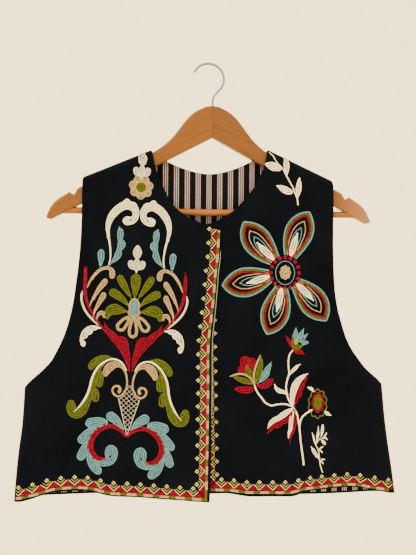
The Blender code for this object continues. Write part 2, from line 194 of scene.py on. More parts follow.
# Front edges, from hem to neck, and necklines, from front edge to neck point: x, height.
RIGHT_EDGE = (
    (0.0011, -0.6025), (0.0018, -0.572), (0.0026, -0.49), (0.0029, -0.436), (0.0026, -0.407),
    (0.0027, -0.387), (0.0055, -0.353), (0.008, -0.326), (0.0108, -0.288), (0.0129, -0.269),
    (0.0147, -0.2295),
)
LEFT_EDGE = ((-0.0060, -0.5885), (-0.0060, -0.2225))
RIGHT_NECK = (
    (0.0147, -0.2295), (-0.002, -0.2245), (-0.0185, -0.2188), (-0.038, -0.2085), (-0.05, -0.198),
    (-0.058, -0.1865), (-0.0655, -0.1715), (-0.072, -0.157), (-0.0765, -0.143), (-0.081, -0.1205),
)
LEFT_NECK = (
    (-0.006, -0.2225), (0.0047, -0.22), (0.0174, -0.2135), (0.0316, -0.2044), (0.043, -0.1935),
    (0.0534, -0.1812), (0.0618, -0.17), (0.0704, -0.153), (0.0757, -0.14), (0.081, -0.1162),
)
# Hems, from side to side: x, height.
RIGHT_HEM = (
    (-0.2626, -0.6), (-0.2556, -0.5994), (-0.2476, -0.5977), (-0.2364, -0.5941), (-0.228, -0.5912),
    (-0.2193, -0.5886), (-0.2091, -0.5863), (-0.1996, -0.5855), (-0.1808, -0.5844), (-0.1673, -0.5847),
    (-0.1538, -0.5865), (-0.1437, -0.5892), (-0.1318, -0.5912), (-0.1201, -0.5918), (-0.1033, -0.5923),
    (-0.0865, -0.5938), (-0.0594, -0.5974), (-0.0356, -0.5992), (-0.0186, -0.6008), (0.0011, -0.6025),
)
LEFT_HEM = (
    (-0.006, -0.5885), (0.0018, -0.5893), (0.0156, -0.5906), (0.0312, -0.593), (0.0466, -0.5958),
    (0.0575, -0.5974), (0.0698, -0.5974), (0.0847, -0.5966), (0.1, -0.5967), (0.1124, -0.597),
    (0.12, -0.596), (0.1295, -0.5925), (0.1377, -0.5903), (0.1563, -0.5896), (0.1754, -0.5892),
    (0.1938, -0.5886), (0.209, -0.589), (0.2178, -0.5905), (0.2368, -0.5942), (0.2485, -0.5969),
    (0.2593, -0.5996), (0.2688, -0.6012),
)
BACK_HEM = (
    (-0.2626, -0.6), (-0.25, -0.5976), (-0.237, -0.5956), (-0.2228, -0.5944), (-0.2, -0.595),
    (-0.15, -0.5961), (0.0, -0.5995), (0.12, -0.6028), (0.16, -0.6025), (0.2, -0.6019), (0.2365, -0.6001),
    (0.2527, -0.5998), (0.2622, -0.6006), (0.2688, -0.6012),
)
print("cut tables:", len(ARMHOLE), "armhole places")

# %% [markdown]
# ## Reading the tables smoothly
# A cutter draws an armhole as one sweeping curve through a few marks. A cubic curve that
# never overshoots its marks does the same. The corners at the underarm and the hem are
# kept sharp by giving each stretch a table of its own.

# %% A smooth reading of a table
def read(table, at, key=0, value=1):
    """Monotone cubic through a table's marks, for one place or many."""
    x, y = np.array(sorted((row[key], row[value]) for row in table), float).T
    step = np.diff(x)
    rise = np.diff(y) / step
    slope = np.concatenate([rise[:1], np.zeros(len(x) - 2), rise[-1:]])
    same = rise[1:] * rise[:-1] > 0
    mean = 2 * rise[1:] * rise[:-1] / np.where(same, rise[1:] + rise[:-1], 1.0)
    slope[1:-1] = np.where(same, mean, 0.0)
    at = np.clip(np.asarray(at, float), x[0], x[-1])
    i = np.clip(np.searchsorted(x, at) - 1, 0, len(step) - 1)
    t = (at - x[i]) / step[i]
    low = y[i] + t * step[i] * slope[i] * (1 - t) ** 2
    bend = (3 - 2 * t) * t * t * (y[i + 1] - y[i]) - t * t * (1 - t) * step[i] * slope[i + 1]
    return low + bend


def smooth(t):
    """A soft step from 0 to 1."""
    t = np.clip(t, 0.0, 1.0)
    return t * t * (3 - 2 * t)


def half_width(z, side):
    """Half width of the garment at a height, to the outer face of the cloth."""
    pick = 1 if side < 0 else 2
    skirt = read(SIDE_SEAM, z, 0, pick) - SHELL_WALL
    return np.where(np.asarray(z) <= UNDERARM_Z, skirt, read(ARMHOLE, z, 0, pick))


print("chest half width", round(float(half_width(-0.45, 1)) * 1000, 1), "mm")

# %% [markdown]
# ## Folds
# Linen that has hung for a while falls in soft troughs and ridges from the points that
# hold it. Each one is given: where it starts and ends, how wide it is, and how
# far it comes forward. No two are alike, and the hidden back gets the same kind.

# %% Folds and creases
# Folds: x of the middle, half width, how far it comes forward, height where it starts.
FRONT_FOLDS = (
    (-0.19, 0.04, -0.0055, -0.4), (-0.095, 0.045, 0.004, -0.33), (0.062, 0.03, -0.002, -0.3),
    (0.115, 0.04, 0.0055, -0.36), (0.2, 0.04, -0.0055, -0.42),
)
BACK_FOLDS = (
    (-0.15, 0.045, 0.004, -0.36), (-0.04, 0.04, -0.003, -0.33), (0.06, 0.045, 0.0035, -0.3),
    (0.165, 0.045, -0.003, -0.38),
)
# Creases: start x, start z, end x, end z, half width, height (+ is forward).
FRONT_CREASES = (
    (0.036, -0.25, 0.03, -0.59, 0.01, -0.0013), (0.056, -0.24, 0.06, -0.56, 0.013, 0.0012),
    (0.102, -0.47, 0.107, -0.6, 0.008, -0.0014), (0.088, -0.45, 0.085, -0.6, 0.009, 0.0012),
    (0.135, -0.34, 0.185, -0.362, 0.006, -0.0011), (0.15, -0.372, 0.2, -0.412, 0.009, 0.0012),
    (0.168, -0.3, 0.12, -0.4, 0.01, 0.0009), (0.12, -0.15, 0.135, -0.3, 0.012, -0.001),
    (0.152, -0.18, 0.15, -0.33, 0.009, 0.001), (0.225, -0.45, 0.232, -0.59, 0.012, 0.0014),
    (0.165, -0.47, 0.172, -0.595, 0.01, -0.0012), (-0.135, -0.165, -0.15, -0.33, 0.012, -0.0011),
    (-0.156, -0.18, -0.165, -0.35, 0.008, 0.0009), (-0.18, -0.35, -0.13, -0.43, 0.011, 0.001),
    (-0.205, -0.42, -0.17, -0.47, 0.009, -0.0012), (-0.23, -0.455, -0.236, -0.59, 0.011, 0.0013),
    (-0.15, -0.47, -0.145, -0.59, 0.01, -0.001), (-0.04, -0.35, -0.038, -0.59, 0.012, 0.0011),
    (-0.066, -0.42, -0.062, -0.59, 0.009, -0.0009),
)
BACK_CREASES = (
    (-0.12, -0.17, -0.06, -0.3, 0.016, 0.0013), (0.12, -0.165, 0.05, -0.31, 0.016, 0.0012),
    (-0.15, -0.18, -0.162, -0.36, 0.009, -0.001), (0.152, -0.175, 0.16, -0.35, 0.01, -0.0011),
    (-0.05, -0.175, 0.055, -0.182, 0.008, -0.0009), (-0.215, -0.43, -0.12, -0.48, 0.011, 0.0014),
    (0.22, -0.425, 0.13, -0.5, 0.012, 0.0013), (-0.205, -0.46, -0.215, -0.59, 0.012, -0.0013),
    (-0.1, -0.4, -0.095, -0.59, 0.012, -0.0012), (0.01, -0.3, 0.014, -0.59, 0.014, 0.0015),
    (0.105, -0.39, 0.112, -0.595, 0.011, 0.0012), (0.215, -0.45, 0.222, -0.59, 0.013, -0.0011),
    (-0.02, -0.35, -0.024, -0.58, 0.008, -0.0008),
)
# A crease sways by a share of its own width, in waves that start elsewhere on each one.
SWAY = 0.25
SWAY_WAVES = 9.0
SWAY_SHIFT = 200
# It fades in over the first share of its length, and out over the last, a little past its end.
FADE_IN = 0.3
FADE_OUT = 0.25
FADE_END = 1.15


def folds(x, z, table):
    """Broad folds that run straight down and deepen towards the hem."""
    total = 0.0
    for middle, half, deep, start in table:
        total = total + deep * smooth((start - z) / (start - HEM_Z)) * np.exp(-(((x - middle) / half) ** 2))
    return total


def creases(x, z, table):
    """Soft troughs and ridges along lines that sway a little and fade at both ends."""
    total = 0.0
    for x0, z0, x1, z1, half, high in table:
        length = math.hypot(x1 - x0, z1 - z0)
        ax, az = (x1 - x0) / length, (z1 - z0) / length
        along = ((x - x0) * ax + (z - z0) * az) / length
        across = (x - x0) * az - (z - z0) * ax
        sway = SWAY * half * np.sin(along * SWAY_WAVES + x0 * SWAY_SHIFT)
        fade = smooth(along / FADE_IN) * smooth((FADE_END - along) / FADE_OUT)
        total = total + high * fade * np.exp(-(((across - sway) / half) ** 2))
    return total


print(len(FRONT_CREASES), "creases on the fronts,", len(BACK_CREASES), "on the back")

# %% [markdown]
# ## How far the cloth stands out
# The two layers meet at the side seams and the shoulders and part between them, over the
# hanger's arms. The upper front lies over the front beneath it, so it stands a little
# further out near its edge.

# %% The depth of the hollow
SHOULDER_DEPTH = 0.0086
NECK_RISE = 0.70
HEM_DEPTH = 0.0110
SIDE_RISE = 0.110
ARMHOLE_RISE = 0.060
ARMHOLE_CLOSE = 0.190
ROUNDNESS = 0.75
OVERLAP_LIFT = 0.0034
OVERLAP_FROM = -0.060
OVERLAP_FULL = -0.016


def shoulder_z(x, side):
    """Height of the shoulder seam's inner line, carried on up the arm inside the neck."""
    t = np.maximum((np.abs(x) - NECK_HALF) / (SHOULDER_HALF - NECK_HALF), 0.0)
    top = NECK_POINT_Z[side] + (SHOULDER_TIP_Z[side] - NECK_POINT_Z[side]) * t
    return top - SHELL_WALL + NECK_RISE * np.maximum(NECK_HALF - np.abs(x), 0.0)


def hollow(x, z, side, back=False):
    """Half depth of the hollow behind a panel's inner face, at garment x and height z."""
    x, z = np.asarray(x, float), np.asarray(z, float)
    close = smooth((z - UNDERARM_Z) / ARMHOLE_CLOSE)
    low = z <= UNDERARM_Z
    reach = np.where(low, SIDE_RISE, ARMHOLE_RISE + (SIDE_RISE - ARMHOLE_RISE) * (1 - close))
    inward = np.maximum(half_width(z, side) - np.abs(x), 0.0)
    share = np.minimum(inward / reach, 1.0)
    rise = (1 - (1 - share) ** 2) ** ROUNDNESS
    down = smooth((SHOULDER_TIP_Z[side] - z) / (SHOULDER_TIP_Z[side] - HEM_Z))
    middle = SHOULDER_DEPTH + (HEM_DEPTH - SHOULDER_DEPTH) * down
    edge = np.where(low, HALF_GAP, HALF_GAP + (SHOULDER_DEPTH - HALF_GAP) * close)
    fold_table, crease_table = (BACK_FOLDS, BACK_CREASES) if back else (FRONT_FOLDS, FRONT_CREASES)
    flat = edge + (middle - edge) * rise
    flat = flat + (folds(x, z, fold_table) + creases(x, z, crease_table)) * rise
    if side < 0 and not back:
        flat = flat + OVERLAP_LIFT * smooth((x - OVERLAP_FROM) / (OVERLAP_FULL - OVERLAP_FROM))
    near = np.minimum(np.maximum(shoulder_z(x, side) - z, 0.0) / SHOULDER_DEPTH, 1.0)
    return HALF_GAP + (flat - HALF_GAP) * np.sqrt(np.maximum(1 - (1 - near) ** 2, 0.0))


print("hollow at the chest:", round(float(hollow(0.1, -0.4, 1)) * 2000, 1), "mm deep")

# %% [markdown]
# ## Grids over the panels
# Cloth is modelled well as a grid of points, because a weave is a grid too. Rows run from
# the hem to the shoulder and columns from the side to the front edge. The grid is fine,
# about four millimetres, so that the creases come out soft.

# %% Rows and columns of a panel
FRONT_COLUMNS = 64
NECK_PLACES = 160
BACK_COLUMNS = 117
SKIRT_ROWS = 36
SIDE_ROWS = 34
YOKE_ROWS = 34
YOKE_FROM_Z = -0.270
YOKE_TOP = 0.0125
ROLL_DROPS = (0.0100, 0.0080, 0.0060, 0.0043, 0.0029, 0.0018, 0.0009, 0.0003, 0.0)


def distances(line):
    """How far along a line each of its points is."""
    return np.concatenate([[0], np.cumsum(np.linalg.norm(np.diff(line, axis=0), axis=1))])


def along(points, shares):
    """Points at shares of a line's length."""
    far = distances(points)
    return np.stack([np.interp(shares * far[-1], far, points[:, k]) for k in (0, 1)], 1)


def outer_heights(side):
    """Heights of the rows on a panel's outer edge, from hem to shoulder."""
    tip = float(shoulder_z(SHOULDER_HALF, side))
    rows = list(np.linspace(HEM_Z, UNDERARM_Z, SKIRT_ROWS + 1))
    rows += list(np.linspace(UNDERARM_Z, YOKE_FROM_Z, SIDE_ROWS + 1))[1:]
    rows += list(np.linspace(YOKE_FROM_Z, tip - YOKE_TOP, YOKE_ROWS + 1))[1:]
    return np.array(rows + [tip - drop for drop in ROLL_DROPS])


def eased(count, near):
    """Shares from 0 to 1 that crowd gently towards both ends."""
    t = np.linspace(0, 1, count)
    return t + near * (-np.sin(2 * np.pi * t) / (2 * np.pi))


def front_cut(side, edge, neck, hem):
    """Flat places (x, z) of a front's grid."""
    outer_z = outer_heights(side)
    outer = np.stack([side * half_width(outer_z, side), outer_z], 1)
    low_z = np.concatenate([np.linspace(edge[0][1], UNDERARM_Z, SKIRT_ROWS + 1),
                            np.linspace(UNDERARM_Z, edge[-1][1], SIDE_ROWS + 1)[1:]])
    neck_x = np.linspace(neck[0][0], neck[-1][0], NECK_PLACES)
    neck_z = np.minimum(read(neck, neck_x), shoulder_z(neck_x, side))
    top = neck_z[-1]
    below = neck_z < top - YOKE_TOP
    curve = along(np.stack([neck_x, neck_z], 1)[below], np.linspace(0, 1, YOKE_ROWS + 1))[1:]
    roll_z = top - np.array(ROLL_DROPS)
    roll = np.stack([np.interp(roll_z, neck_z, neck_x), roll_z], 1)
    inner = np.concatenate([np.stack([read(edge, low_z, 1, 0), low_z], 1), curve, roll])
    share = eased(FRONT_COLUMNS, 0.35)[None, :, None]
    flat = outer[:, None] + (inner - outer)[:, None] * share
    fade = np.maximum(1 - np.arange(len(flat)) / SKIRT_ROWS, 0.0)[:, None]
    straight = HEM_Z + (edge[0][1] - HEM_Z) * share[..., 0]
    flat[..., 1] += (read(hem, flat[..., 0]) - straight) * fade
    return flat


def back_cut():
    """Flat places (x, z) of the back's grid, and its side at each column."""
    share = 2 * eased(BACK_COLUMNS, 0.25) - 1
    sides = np.where(share < 0, -1, 1)
    flat = np.zeros((len(outer_heights(1)), len(share), 2))
    for side in (-1, 1):
        u = share[sides == side]
        outer_z = outer_heights(side)[:, None]
        x = u * half_width(outer_z, side)
        tip = float(shoulder_z(SHOULDER_HALF, side))
        top_x = np.abs(u * SHOULDER_HALF)
        point = float(shoulder_z(NECK_HALF, side))
        neck = BACK_NECK_Z + (point - BACK_NECK_Z) * np.minimum(top_x / NECK_HALF, 1) ** BACK_NECK_POWER
        top = np.where(top_x >= NECK_HALF, shoulder_z(top_x, side), neck)
        rise = (outer_z - UNDERARM_Z) / (tip - UNDERARM_Z)
        upper = UNDERARM_Z + rise * (top - UNDERARM_Z)
        fade = np.maximum(1 - np.arange(len(outer_z)) / SKIRT_ROWS, 0.0)[:, None]
        lower = outer_z + (read(BACK_HEM, x) - HEM_Z) * fade
        flat[:, sides == side, 0] = x
        flat[:, sides == side, 1] = np.where(outer_z <= UNDERARM_Z, lower, upper)
    return flat, share


right_cut = front_cut(-1, RIGHT_EDGE, RIGHT_NECK, RIGHT_HEM)
left_cut = front_cut(1, LEFT_EDGE, LEFT_NECK, LEFT_HEM)
whole_back, back_share = back_cut()
print("front grid", right_cut.shape[:2], "back grid", whole_back.shape[:2])

# %% [markdown]
# ## From grid to cloth wall
# Cloth has thickness, and its folded edges are round. Each panel gets an inner and an
# outer face, a millimetre or two apart along the surface's own direction, and a rim that
# bulges a little between them where the edge is turned under. Along the seams the rim
# stays flat, because the next panel lies against it.

# %% Faces and walls
def unit(arrows):
    """The same directions, each made one long."""
    return arrows / np.linalg.norm(arrows, axis=-1, keepdims=True)


def lifted(cut, side, share=None):
    """Points of a panel's inner face in space, and their outward directions."""
    x, z = cut[..., 0], cut[..., 1]
    back = share is not None
    if back:
        deep = np.where(share < 0, hollow(x, z, -1, True), hollow(x, z, 1, True))
    else:
        deep = -hollow(x, z, side)
    face = np.stack([x + GARMENT_X, deep, z], 2)
    normal = np.cross(np.gradient(face, axis=0), np.gradient(face, axis=1))
    facing = 1.0 if back else -1.0
    normal *= np.where(normal[..., 1:2] * facing < 0, -1.0, 1.0)
    for j in ((0, -1) if back else (0,)):
        low = z[:, j] <= UNDERARM_Z + HALF_GAP
        normal[low, j] = (math.copysign(1.0, x[0, j]), 0.0, 0.0)
    for j in range(cut.shape[1]):
        if not back or abs(x[-1, j]) >= NECK_HALF:
            way = math.copysign(1.0, x[-1, j])
            drop = SHOULDER_TIP_Z[int(way)] - NECK_POINT_Z[int(way)]
            normal[-1, j] = (-drop * way, 0.0, SHOULDER_HALF - NECK_HALF)
    return face, unit(normal)


def cloth_wall(name, inner, outer, material, round_edge=None):
    """A closed wall between two grids, with a UV map in metres along the cut."""
    rows, cols = inner.shape[:2]
    rim = [(0, j) for j in range(cols)] + [(i, cols - 1) for i in range(1, rows)]
    rim += [(rows - 1, j) for j in range(cols - 2, -1, -1)] + [(i, 0) for i in range(rows - 2, 0, -1)]
    rim_i, rim_j = np.array(rim).T
    middle = (inner[rim_i, rim_j] + outer[rim_i, rim_j]) / 2
    if round_edge is not None:
        inward = inner[np.clip(rim_i, 1, rows - 2), np.clip(rim_j, 1, cols - 2)] - inner[rim_i, rim_j]
        middle -= unit(inward) * round_edge[rim_i, rim_j][:, None]
    points = np.concatenate([inner.reshape(-1, 3), outer.reshape(-1, 3), middle])
    other, third = rows * cols, 2 * rows * cols
    index = np.arange(other).reshape(rows, cols)
    quads = np.stack([index[:-1, :-1], index[:-1, 1:], index[1:, 1:], index[1:, :-1]], 2).reshape(-1, 4)
    faces = [tuple(q) for q in quads] + [tuple(other + k for k in q[::-1]) for q in quads]
    loop = index[rim_i, rim_j]
    count = len(loop)
    for k in range(count):
        n = (k + 1) % count
        faces.append((loop[n], loop[k], third + k, third + n))
        faces.append((third + n, third + k, other + loop[k], other + loop[n]))
    mesh = bpy.data.meshes.new(name)
    mesh.from_pydata(points.tolist(), [], [tuple(int(v) for v in f) for f in faces])
    uv = mesh.uv_layers.new(name="cut")
    flat = np.array([points[corner.vertex_index][[0, 2]] for corner in mesh.loops])
    uv.data.foreach_set("uv", flat.ravel())
    work_mesh = bmesh.new()
    work_mesh.from_mesh(mesh)
    bmesh.ops.recalc_face_normals(work_mesh, faces=work_mesh.faces)
    work_mesh.to_mesh(mesh)
    work_mesh.free()
    mesh.shade_smooth()
    mesh.materials.append(material)
    return added(name, mesh)


def flat_area(cut):
    """Area of a panel's cut in square metres, by its outline."""
    ring = np.concatenate([cut[0], cut[1:, -1], cut[-1, -2::-1], cut[-2:0:-1, 0]])
    x, z = ring[:, 0], ring[:, 1]
    return abs(float(np.sum(x * np.roll(z, -1) - z * np.roll(x, -1)))) / 2


print("right front's cut:", round(flat_area(right_cut) * 1e4), "cm2")

# %% [markdown]
# ## Black linen
# The shell is a plain-woven linen dyed black: matt, with slubs, where thicker yarns run
# along and across, and a little blue where the light catches it. The weave is a bump of
# two crossed waves at the pitch of the yarns, 0.7 mm. Stretched noise makes the slubs. A
# sheen on the shader gives the fine bright edge that fibres have. Patterns are read in
# Object coordinates, those of the piece itself, so that they stay where they are on it.

# %% The black linen
LINEN_PITCH = 0.0007


def weave(tree, place, pitch, slub):
    """Height of a plain weave: crossed yarns, with thick places along both."""
    split = node(tree, "SeparateXYZ", place)
    heights = []
    for across, stretched in ((0, (60, 60, 1080)), (2, (1080, 60, 60))):
        turns = node(tree, "Math", split.outputs[across], 2 * math.pi / pitch, operation="MULTIPLY")
        wave = node(tree, "Math", turns, operation="SINE")
        longer = node(tree, "Mapping", place, Scale=stretched)
        thick = node(tree, "TexNoise", longer, Scale=1.0 / pitch / 900, Detail=2.0)
        heights.append(node(tree, "Math", thick, slub, wave, operation="MULTIPLY_ADD"))
    return node(tree, "Math", *heights, operation="MAXIMUM")


def linen(name, dark, light):
    """Flax yarn woven plain: matt, because its fibres scatter the light every way."""
    made, tree, shader = finish(name, Roughness=0.9, Sheen_Weight=0.035, Sheen_Roughness=0.5,
                                Sheen_Tint=colour("#5a6ccf"), Specular_IOR_Level=0.03)
    place = node(tree, "TexCoord").outputs["Object"]
    height = weave(tree, place, LINEN_PITCH, 2.2)
    patches = node(tree, "TexNoise", place, Scale=14.0, Detail=5.0, Roughness=0.6)
    lint = node(tree, "TexNoise", place, Scale=900.0, Detail=2.0)
    tone = node(tree, "Math", lint, 0.35, patches, operation="MULTIPLY_ADD")
    fill(shader, Base_Color=node(tree, "ValToRGB", tone, stops=((0.45, dark), (0.85, light))),
         Normal=node(tree, "Bump", Strength=0.35, Distance=0.0002, Height=height))
    return made


black_linen = linen("black_linen_matt_woven", "#03050c", "#070b16")
print("made", black_linen.name)

# %% [markdown]
# ## The striped lining
# The lining is a woven stripe: black ground, with a pale pinkish band every 15 mm, and
# two thin pin lines in each band, one maroon and one slate blue. Stripes woven in run
# straight along the warp, so they are counted off from the flat x of the cut. A cloth's
# own finished edge, its selvedge, is plain and pale.

# %% The lining cloth
STRIPE_PITCH = 0.01520
STRIPE_START = -0.0466
LINING_PITCH = 0.0005
STRIPES = ((0.0, "#a898ac"), (0.085, "#3c0f22"), (0.175, "#a898ac"), (0.270, "#283252"),
           (0.360, "#a898ac"), (0.445, "#090b12"))


def lining_cloth():
    """Fine cotton with its stripes woven in: smoother than the linen, and as matt."""
    made, tree, shader = finish("striped_cotton_woven", Roughness=0.85, Sheen_Weight=0.02,
                                Specular_IOR_Level=0.05)
    place = node(tree, "TexCoord").outputs["Object"]
    split = node(tree, "SeparateXYZ", place)
    phase = node(tree, "Math", split, 1 / STRIPE_PITCH, -STRIPE_START / STRIPE_PITCH + 100,
                 operation="MULTIPLY_ADD")
    stripes = node(tree, "ValToRGB", node(tree, "Math", phase, operation="FRACT"), stops=STRIPES)
    stripes.color_ramp.interpolation = "CONSTANT"
    shade = node(tree, "TexNoise", place, Scale=600.0, Detail=2.0)
    selvedge = node(tree, "Attribute", attribute_name="selvedge").outputs["Fac"]
    edged = node(tree, "Mix", selvedge, data_type="RGBA", A_Color=stripes, B_Color=colour("#a4a6b2"))
    mixed = node(tree, "Mix", 0.35, data_type="RGBA", blend_type="MULTIPLY", A_Color=edged.outputs[2],
                 B_Color=shade)
    height = weave(tree, place, LINING_PITCH, 1.0)
    fill(shader, Base_Color=mixed.outputs[2],
         Normal=node(tree, "Bump", Strength=0.3, Distance=0.00015, Height=height))
    return made


striped_lining = lining_cloth()
print("made", striped_lining.name)

# %% [markdown]
# ## The fronts, the back and their linings
# The shell and its lining share one surface, so that they never cut through each other.
# The lining stops short of the hem and of the seams, as a lining does. On the upper front
# it shows as a thin pale edge at chest height.

# %% Make the cloth pieces
EDGE_BULGE = 0.0006
SEAM_ROWS = 3
LINING_COLUMNS = 5
FRONT_INSET = 0.0010
NECK_INSET = 0.001
HEM_INSET = {"front": 0.0025, "back": 0.0032}
# The upper front's lining comes out beside the edge between two heights, its selvedge first.
PEEP = 0.0026
PEEP_FROM_Z = -0.520
PEEP_FROM_SOFT = 0.050
PEEP_TO_Z = -0.245
PEEP_TO_SOFT = 0.020
SELVEDGE_FROM = 0.0002


def open_edges(cut, back):
    """How far the rim bulges at each grid point: none along the seams."""
    bulge = np.zeros(cut.shape[:2])
    bulge[0] = EDGE_BULGE
    bulge[SKIRT_ROWS + 1:-SEAM_ROWS, 0] = EDGE_BULGE
    bulge[SKIRT_ROWS + 1 if back else 0:-SEAM_ROWS, -1] = EDGE_BULGE
    return bulge


def draw_in(edge, beside, by):
    """Moves an edge of a grid towards the line beside it, each point by its own amount."""
    edge += unit(beside - edge) * np.asarray(by)[..., None]


def cloth_pieces(name, cut, side, peep=False, share=None):
    """A panel's shell and its lining. Only the back has a share for each column."""
    back = share is not None
    face, normal = lifted(cut, side, share)
    shell = cloth_wall(name + "_cloth", face, face + normal * SHELL_WALL, black_linen, open_edges(cut, back))
    grids = []
    for deep in (GAP, GAP + LINING_WALL):
        grid = (face - normal * deep)[:, LINING_COLUMNS:-LINING_COLUMNS if back else None].copy()
        if back:
            draw_in(grid[0], grid[1], HEM_INSET["back"])
            in_neck = np.abs(grid[-1, :, 0] - GARMENT_X) < NECK_HALF - NECK_INSET
            draw_in(grid[-1], grid[-2], in_neck * NECK_INSET)
        else:
            z = grid[:, -1, 2]
            inset = np.full(len(grid), FRONT_INSET)
            if peep:
                inset -= (PEEP * smooth((z - PEEP_FROM_Z) / PEEP_FROM_SOFT)
                          * smooth((PEEP_TO_Z - z) / PEEP_TO_SOFT))
            draw_in(grid[:, -1], grid[:, -2], inset)
            draw_in(grid[0], grid[1], HEM_INSET["front"])
        grids.append(grid)
    inside = cloth_wall(name + "_lining_cloth", grids[1], grids[0], striped_lining)
    if peep:
        at = np.array([v.co for v in inside.data.vertices])
        past = at[:, 0] - GARMENT_X - read(RIGHT_EDGE, at[:, 2], 1, 0)
        layer = inside.data.attributes.new("selvedge", "FLOAT", "POINT")
        layer.data.foreach_set("value", (past > SELVEDGE_FROM).astype(np.float32))
    print(shell.name, len(shell.data.polygons), "faces")
    return shell, inside


right_shell, right_inside = cloth_pieces("front_right", right_cut, -1, peep=True)
left_shell, left_inside = cloth_pieces("front_left", left_cut, 1)
back_shell, back_inside = cloth_pieces("back", whole_back, 0, share=back_share)

# %% [markdown]
# ## Placing a stitch on the cloth
# Embroidery is drawn on the flat cut, then worked through the cloth. So a row of stitches
# is a line of flat places. This function lifts such places onto the outer face of a front
# and gives the direction that the cloth faces there.

# %% Flat places onto the cloth
NEARBY = 0.0008


def on_cloth(flat, side):
    """Points on a front's outer face, and its outward directions, from garment x and z."""
    x, z = flat[:, 0], flat[:, 1]
    slope_x = (hollow(x + NEARBY, z, side) - hollow(x - NEARBY, z, side)) / (2 * NEARBY)
    slope_z = (hollow(x, z + NEARBY, side) - hollow(x, z - NEARBY, side)) / (2 * NEARBY)
    normal = unit(np.stack([-slope_x, -np.ones_like(x), -slope_z], 1))
    return np.stack([x + GARMENT_X, -hollow(x, z, side), z], 1) + normal * SHELL_WALL, normal


print("a place on the chest:", on_cloth(np.array([[-0.1, -0.4]]), -1)[0].round(4))

# %% [markdown]
# ## Rows of stitches from a spine and its widths
# Every leaf, petal and scroll here is worked the same way: the outline first, then rows
# inside it until it is full. So a shape is told by its spine, a few points that a smooth
# curve passes through, and by its width at each of them. The end of a spine is rounded to
# its own width, so a width near nothing makes a point and a broad one makes a round tip.

# %% Spine and outline
ROW_PITCH = 2.75
STEP = 0.4
CURVE_PARTS = 16
FEWEST_PLACES = 24
# A scalloped side: how sharp its notches are, how they shrink with the width, and its least half width.
SCALLOP_SHARPNESS = 0.7
SCALLOP_TAPER = 1.6
SCALLOP_LEAST = 0.1


def curve(spine):
    """A smooth curve, its widths and how far along each place is, from points (u, v, width)."""
    p = np.array(spine, float)
    q = np.concatenate([[2 * p[0] - p[1]], p, [2 * p[-1] - p[-2]]])[:, :2]
    t = np.linspace(0, 1, CURVE_PARTS, endpoint=False)[:, None]
    parts = []
    for a, b, c, d in zip(q, q[1:], q[2:], q[3:]):
        parts.append(0.5 * (2 * b + (c - a) * t + (2 * a - 5 * b + 4 * c - d) * t ** 2
                            + (3 * b - a - 3 * c + d) * t ** 3))
    line = np.concatenate(parts + [q[-2:-1]])
    far = distances(line)
    count = max(int(far[-1] / STEP), FEWEST_PLACES)
    share = 0.5 - 0.5 * np.cos(np.pi * np.linspace(0, 1, count))
    marks = [(far[CURVE_PARTS * k], width) for k, width in enumerate(p[:, 2])]
    return along(line, share), np.maximum(read(marks, share * far[-1]), 0.0), share * far[-1]


def outline(spine, lobes=None):
    """The middle line of a shape and its closed outline.

    Lobes are the number of scallops, their depth, and the side they are on.
    """
    line, width, far = curve(spine)
    half = width / 2
    for reach, end in ((far, half[0]), (far[-1] - far, half[-1])):
        half = half * np.sqrt(1 - (1 - np.minimum(reach / max(end, 0.05), 1)) ** 2)
    tangent = np.gradient(line, axis=0)
    across = np.stack([-tangent[:, 1], tangent[:, 0]], 1) / np.linalg.norm(tangent, axis=1, keepdims=True)
    sides = {1: half, -1: half.copy()}
    if lobes:
        number, deep, which = lobes
        scallop = deep * (1 - np.abs(np.sin(np.pi * number * far / far[-1])) ** SCALLOP_SHARPNESS)
        sides[which] = np.maximum(half - scallop * smooth(half / (deep * SCALLOP_TAPER)), SCALLOP_LEAST)
    edge = np.concatenate([line + across * sides[1][:, None], (line - across * sides[-1][:, None])[::-1]])
    count = max(int(distances(edge)[-1] / STEP), 16)
    border = along(edge, np.linspace(0, 1, count, endpoint=False))
    return line + across * ((sides[1] - sides[-1]) / 2)[:, None], border


PETAL_SPINE = ((0, 0, 2), (0, 15, 12), (0, 30, 9))
print("a petal's outline has", len(outline(PETAL_SPINE)[1]), "points")

# %% [markdown]
# ## Filling an outline
# A row lies inside the outline at one fixed distance from it. Moving every outline point
# inwards gives that row, except where the shape is too narrow and the two sides would
# meet. So the room inside is measured at each outline point first, as the largest circle
# that touches the outline there. Rows stop where that circle is too small, and one row
# down the middle takes the strip that is left.

# %% Rows inside a shape
REACH_STEP = 0.3
SLACK = 0.2
# In shares of the pitch: a row still fits with this much of it missing, it needs this much
# room past its own line, and a strip wider than this gets a row down its middle.
ROUND_UP = 0.22
ROW_ROOM = 0.25
STRIP = 0.10
THINNEST = 0.42
THICKEST = 1.3
RING_PLACES = 73


def clearance(places, border):
    """Distance from each place to the nearest point of the outline."""
    return np.min(np.linalg.norm(places[:, None] - border[None], axis=2), axis=1)


def stretches(line, keep):
    """The parts of a line where keep is true."""
    edges = np.flatnonzero(np.diff(np.concatenate([[0], keep.astype(int), [0]])))
    return [line[a:b] for a, b in zip(edges[::2], edges[1::2]) if b - a >= 3]


def strands(points, keep):
    """Kept points of a closed loop, parted wherever the next one is more than 2 mm away."""
    kept = points[keep]
    gaps = np.linalg.norm(np.roll(kept, -1, 0) - kept, axis=1) > 2.0
    if not gaps.any():
        return [np.concatenate([kept, kept[:1]])]
    first = int(np.flatnonzero(gaps)[0]) + 1
    kept, gaps = np.roll(kept, -first, 0), np.roll(gaps, -first)
    return [part for part in np.split(kept, np.flatnonzero(gaps) + 1) if len(part) >= 3]


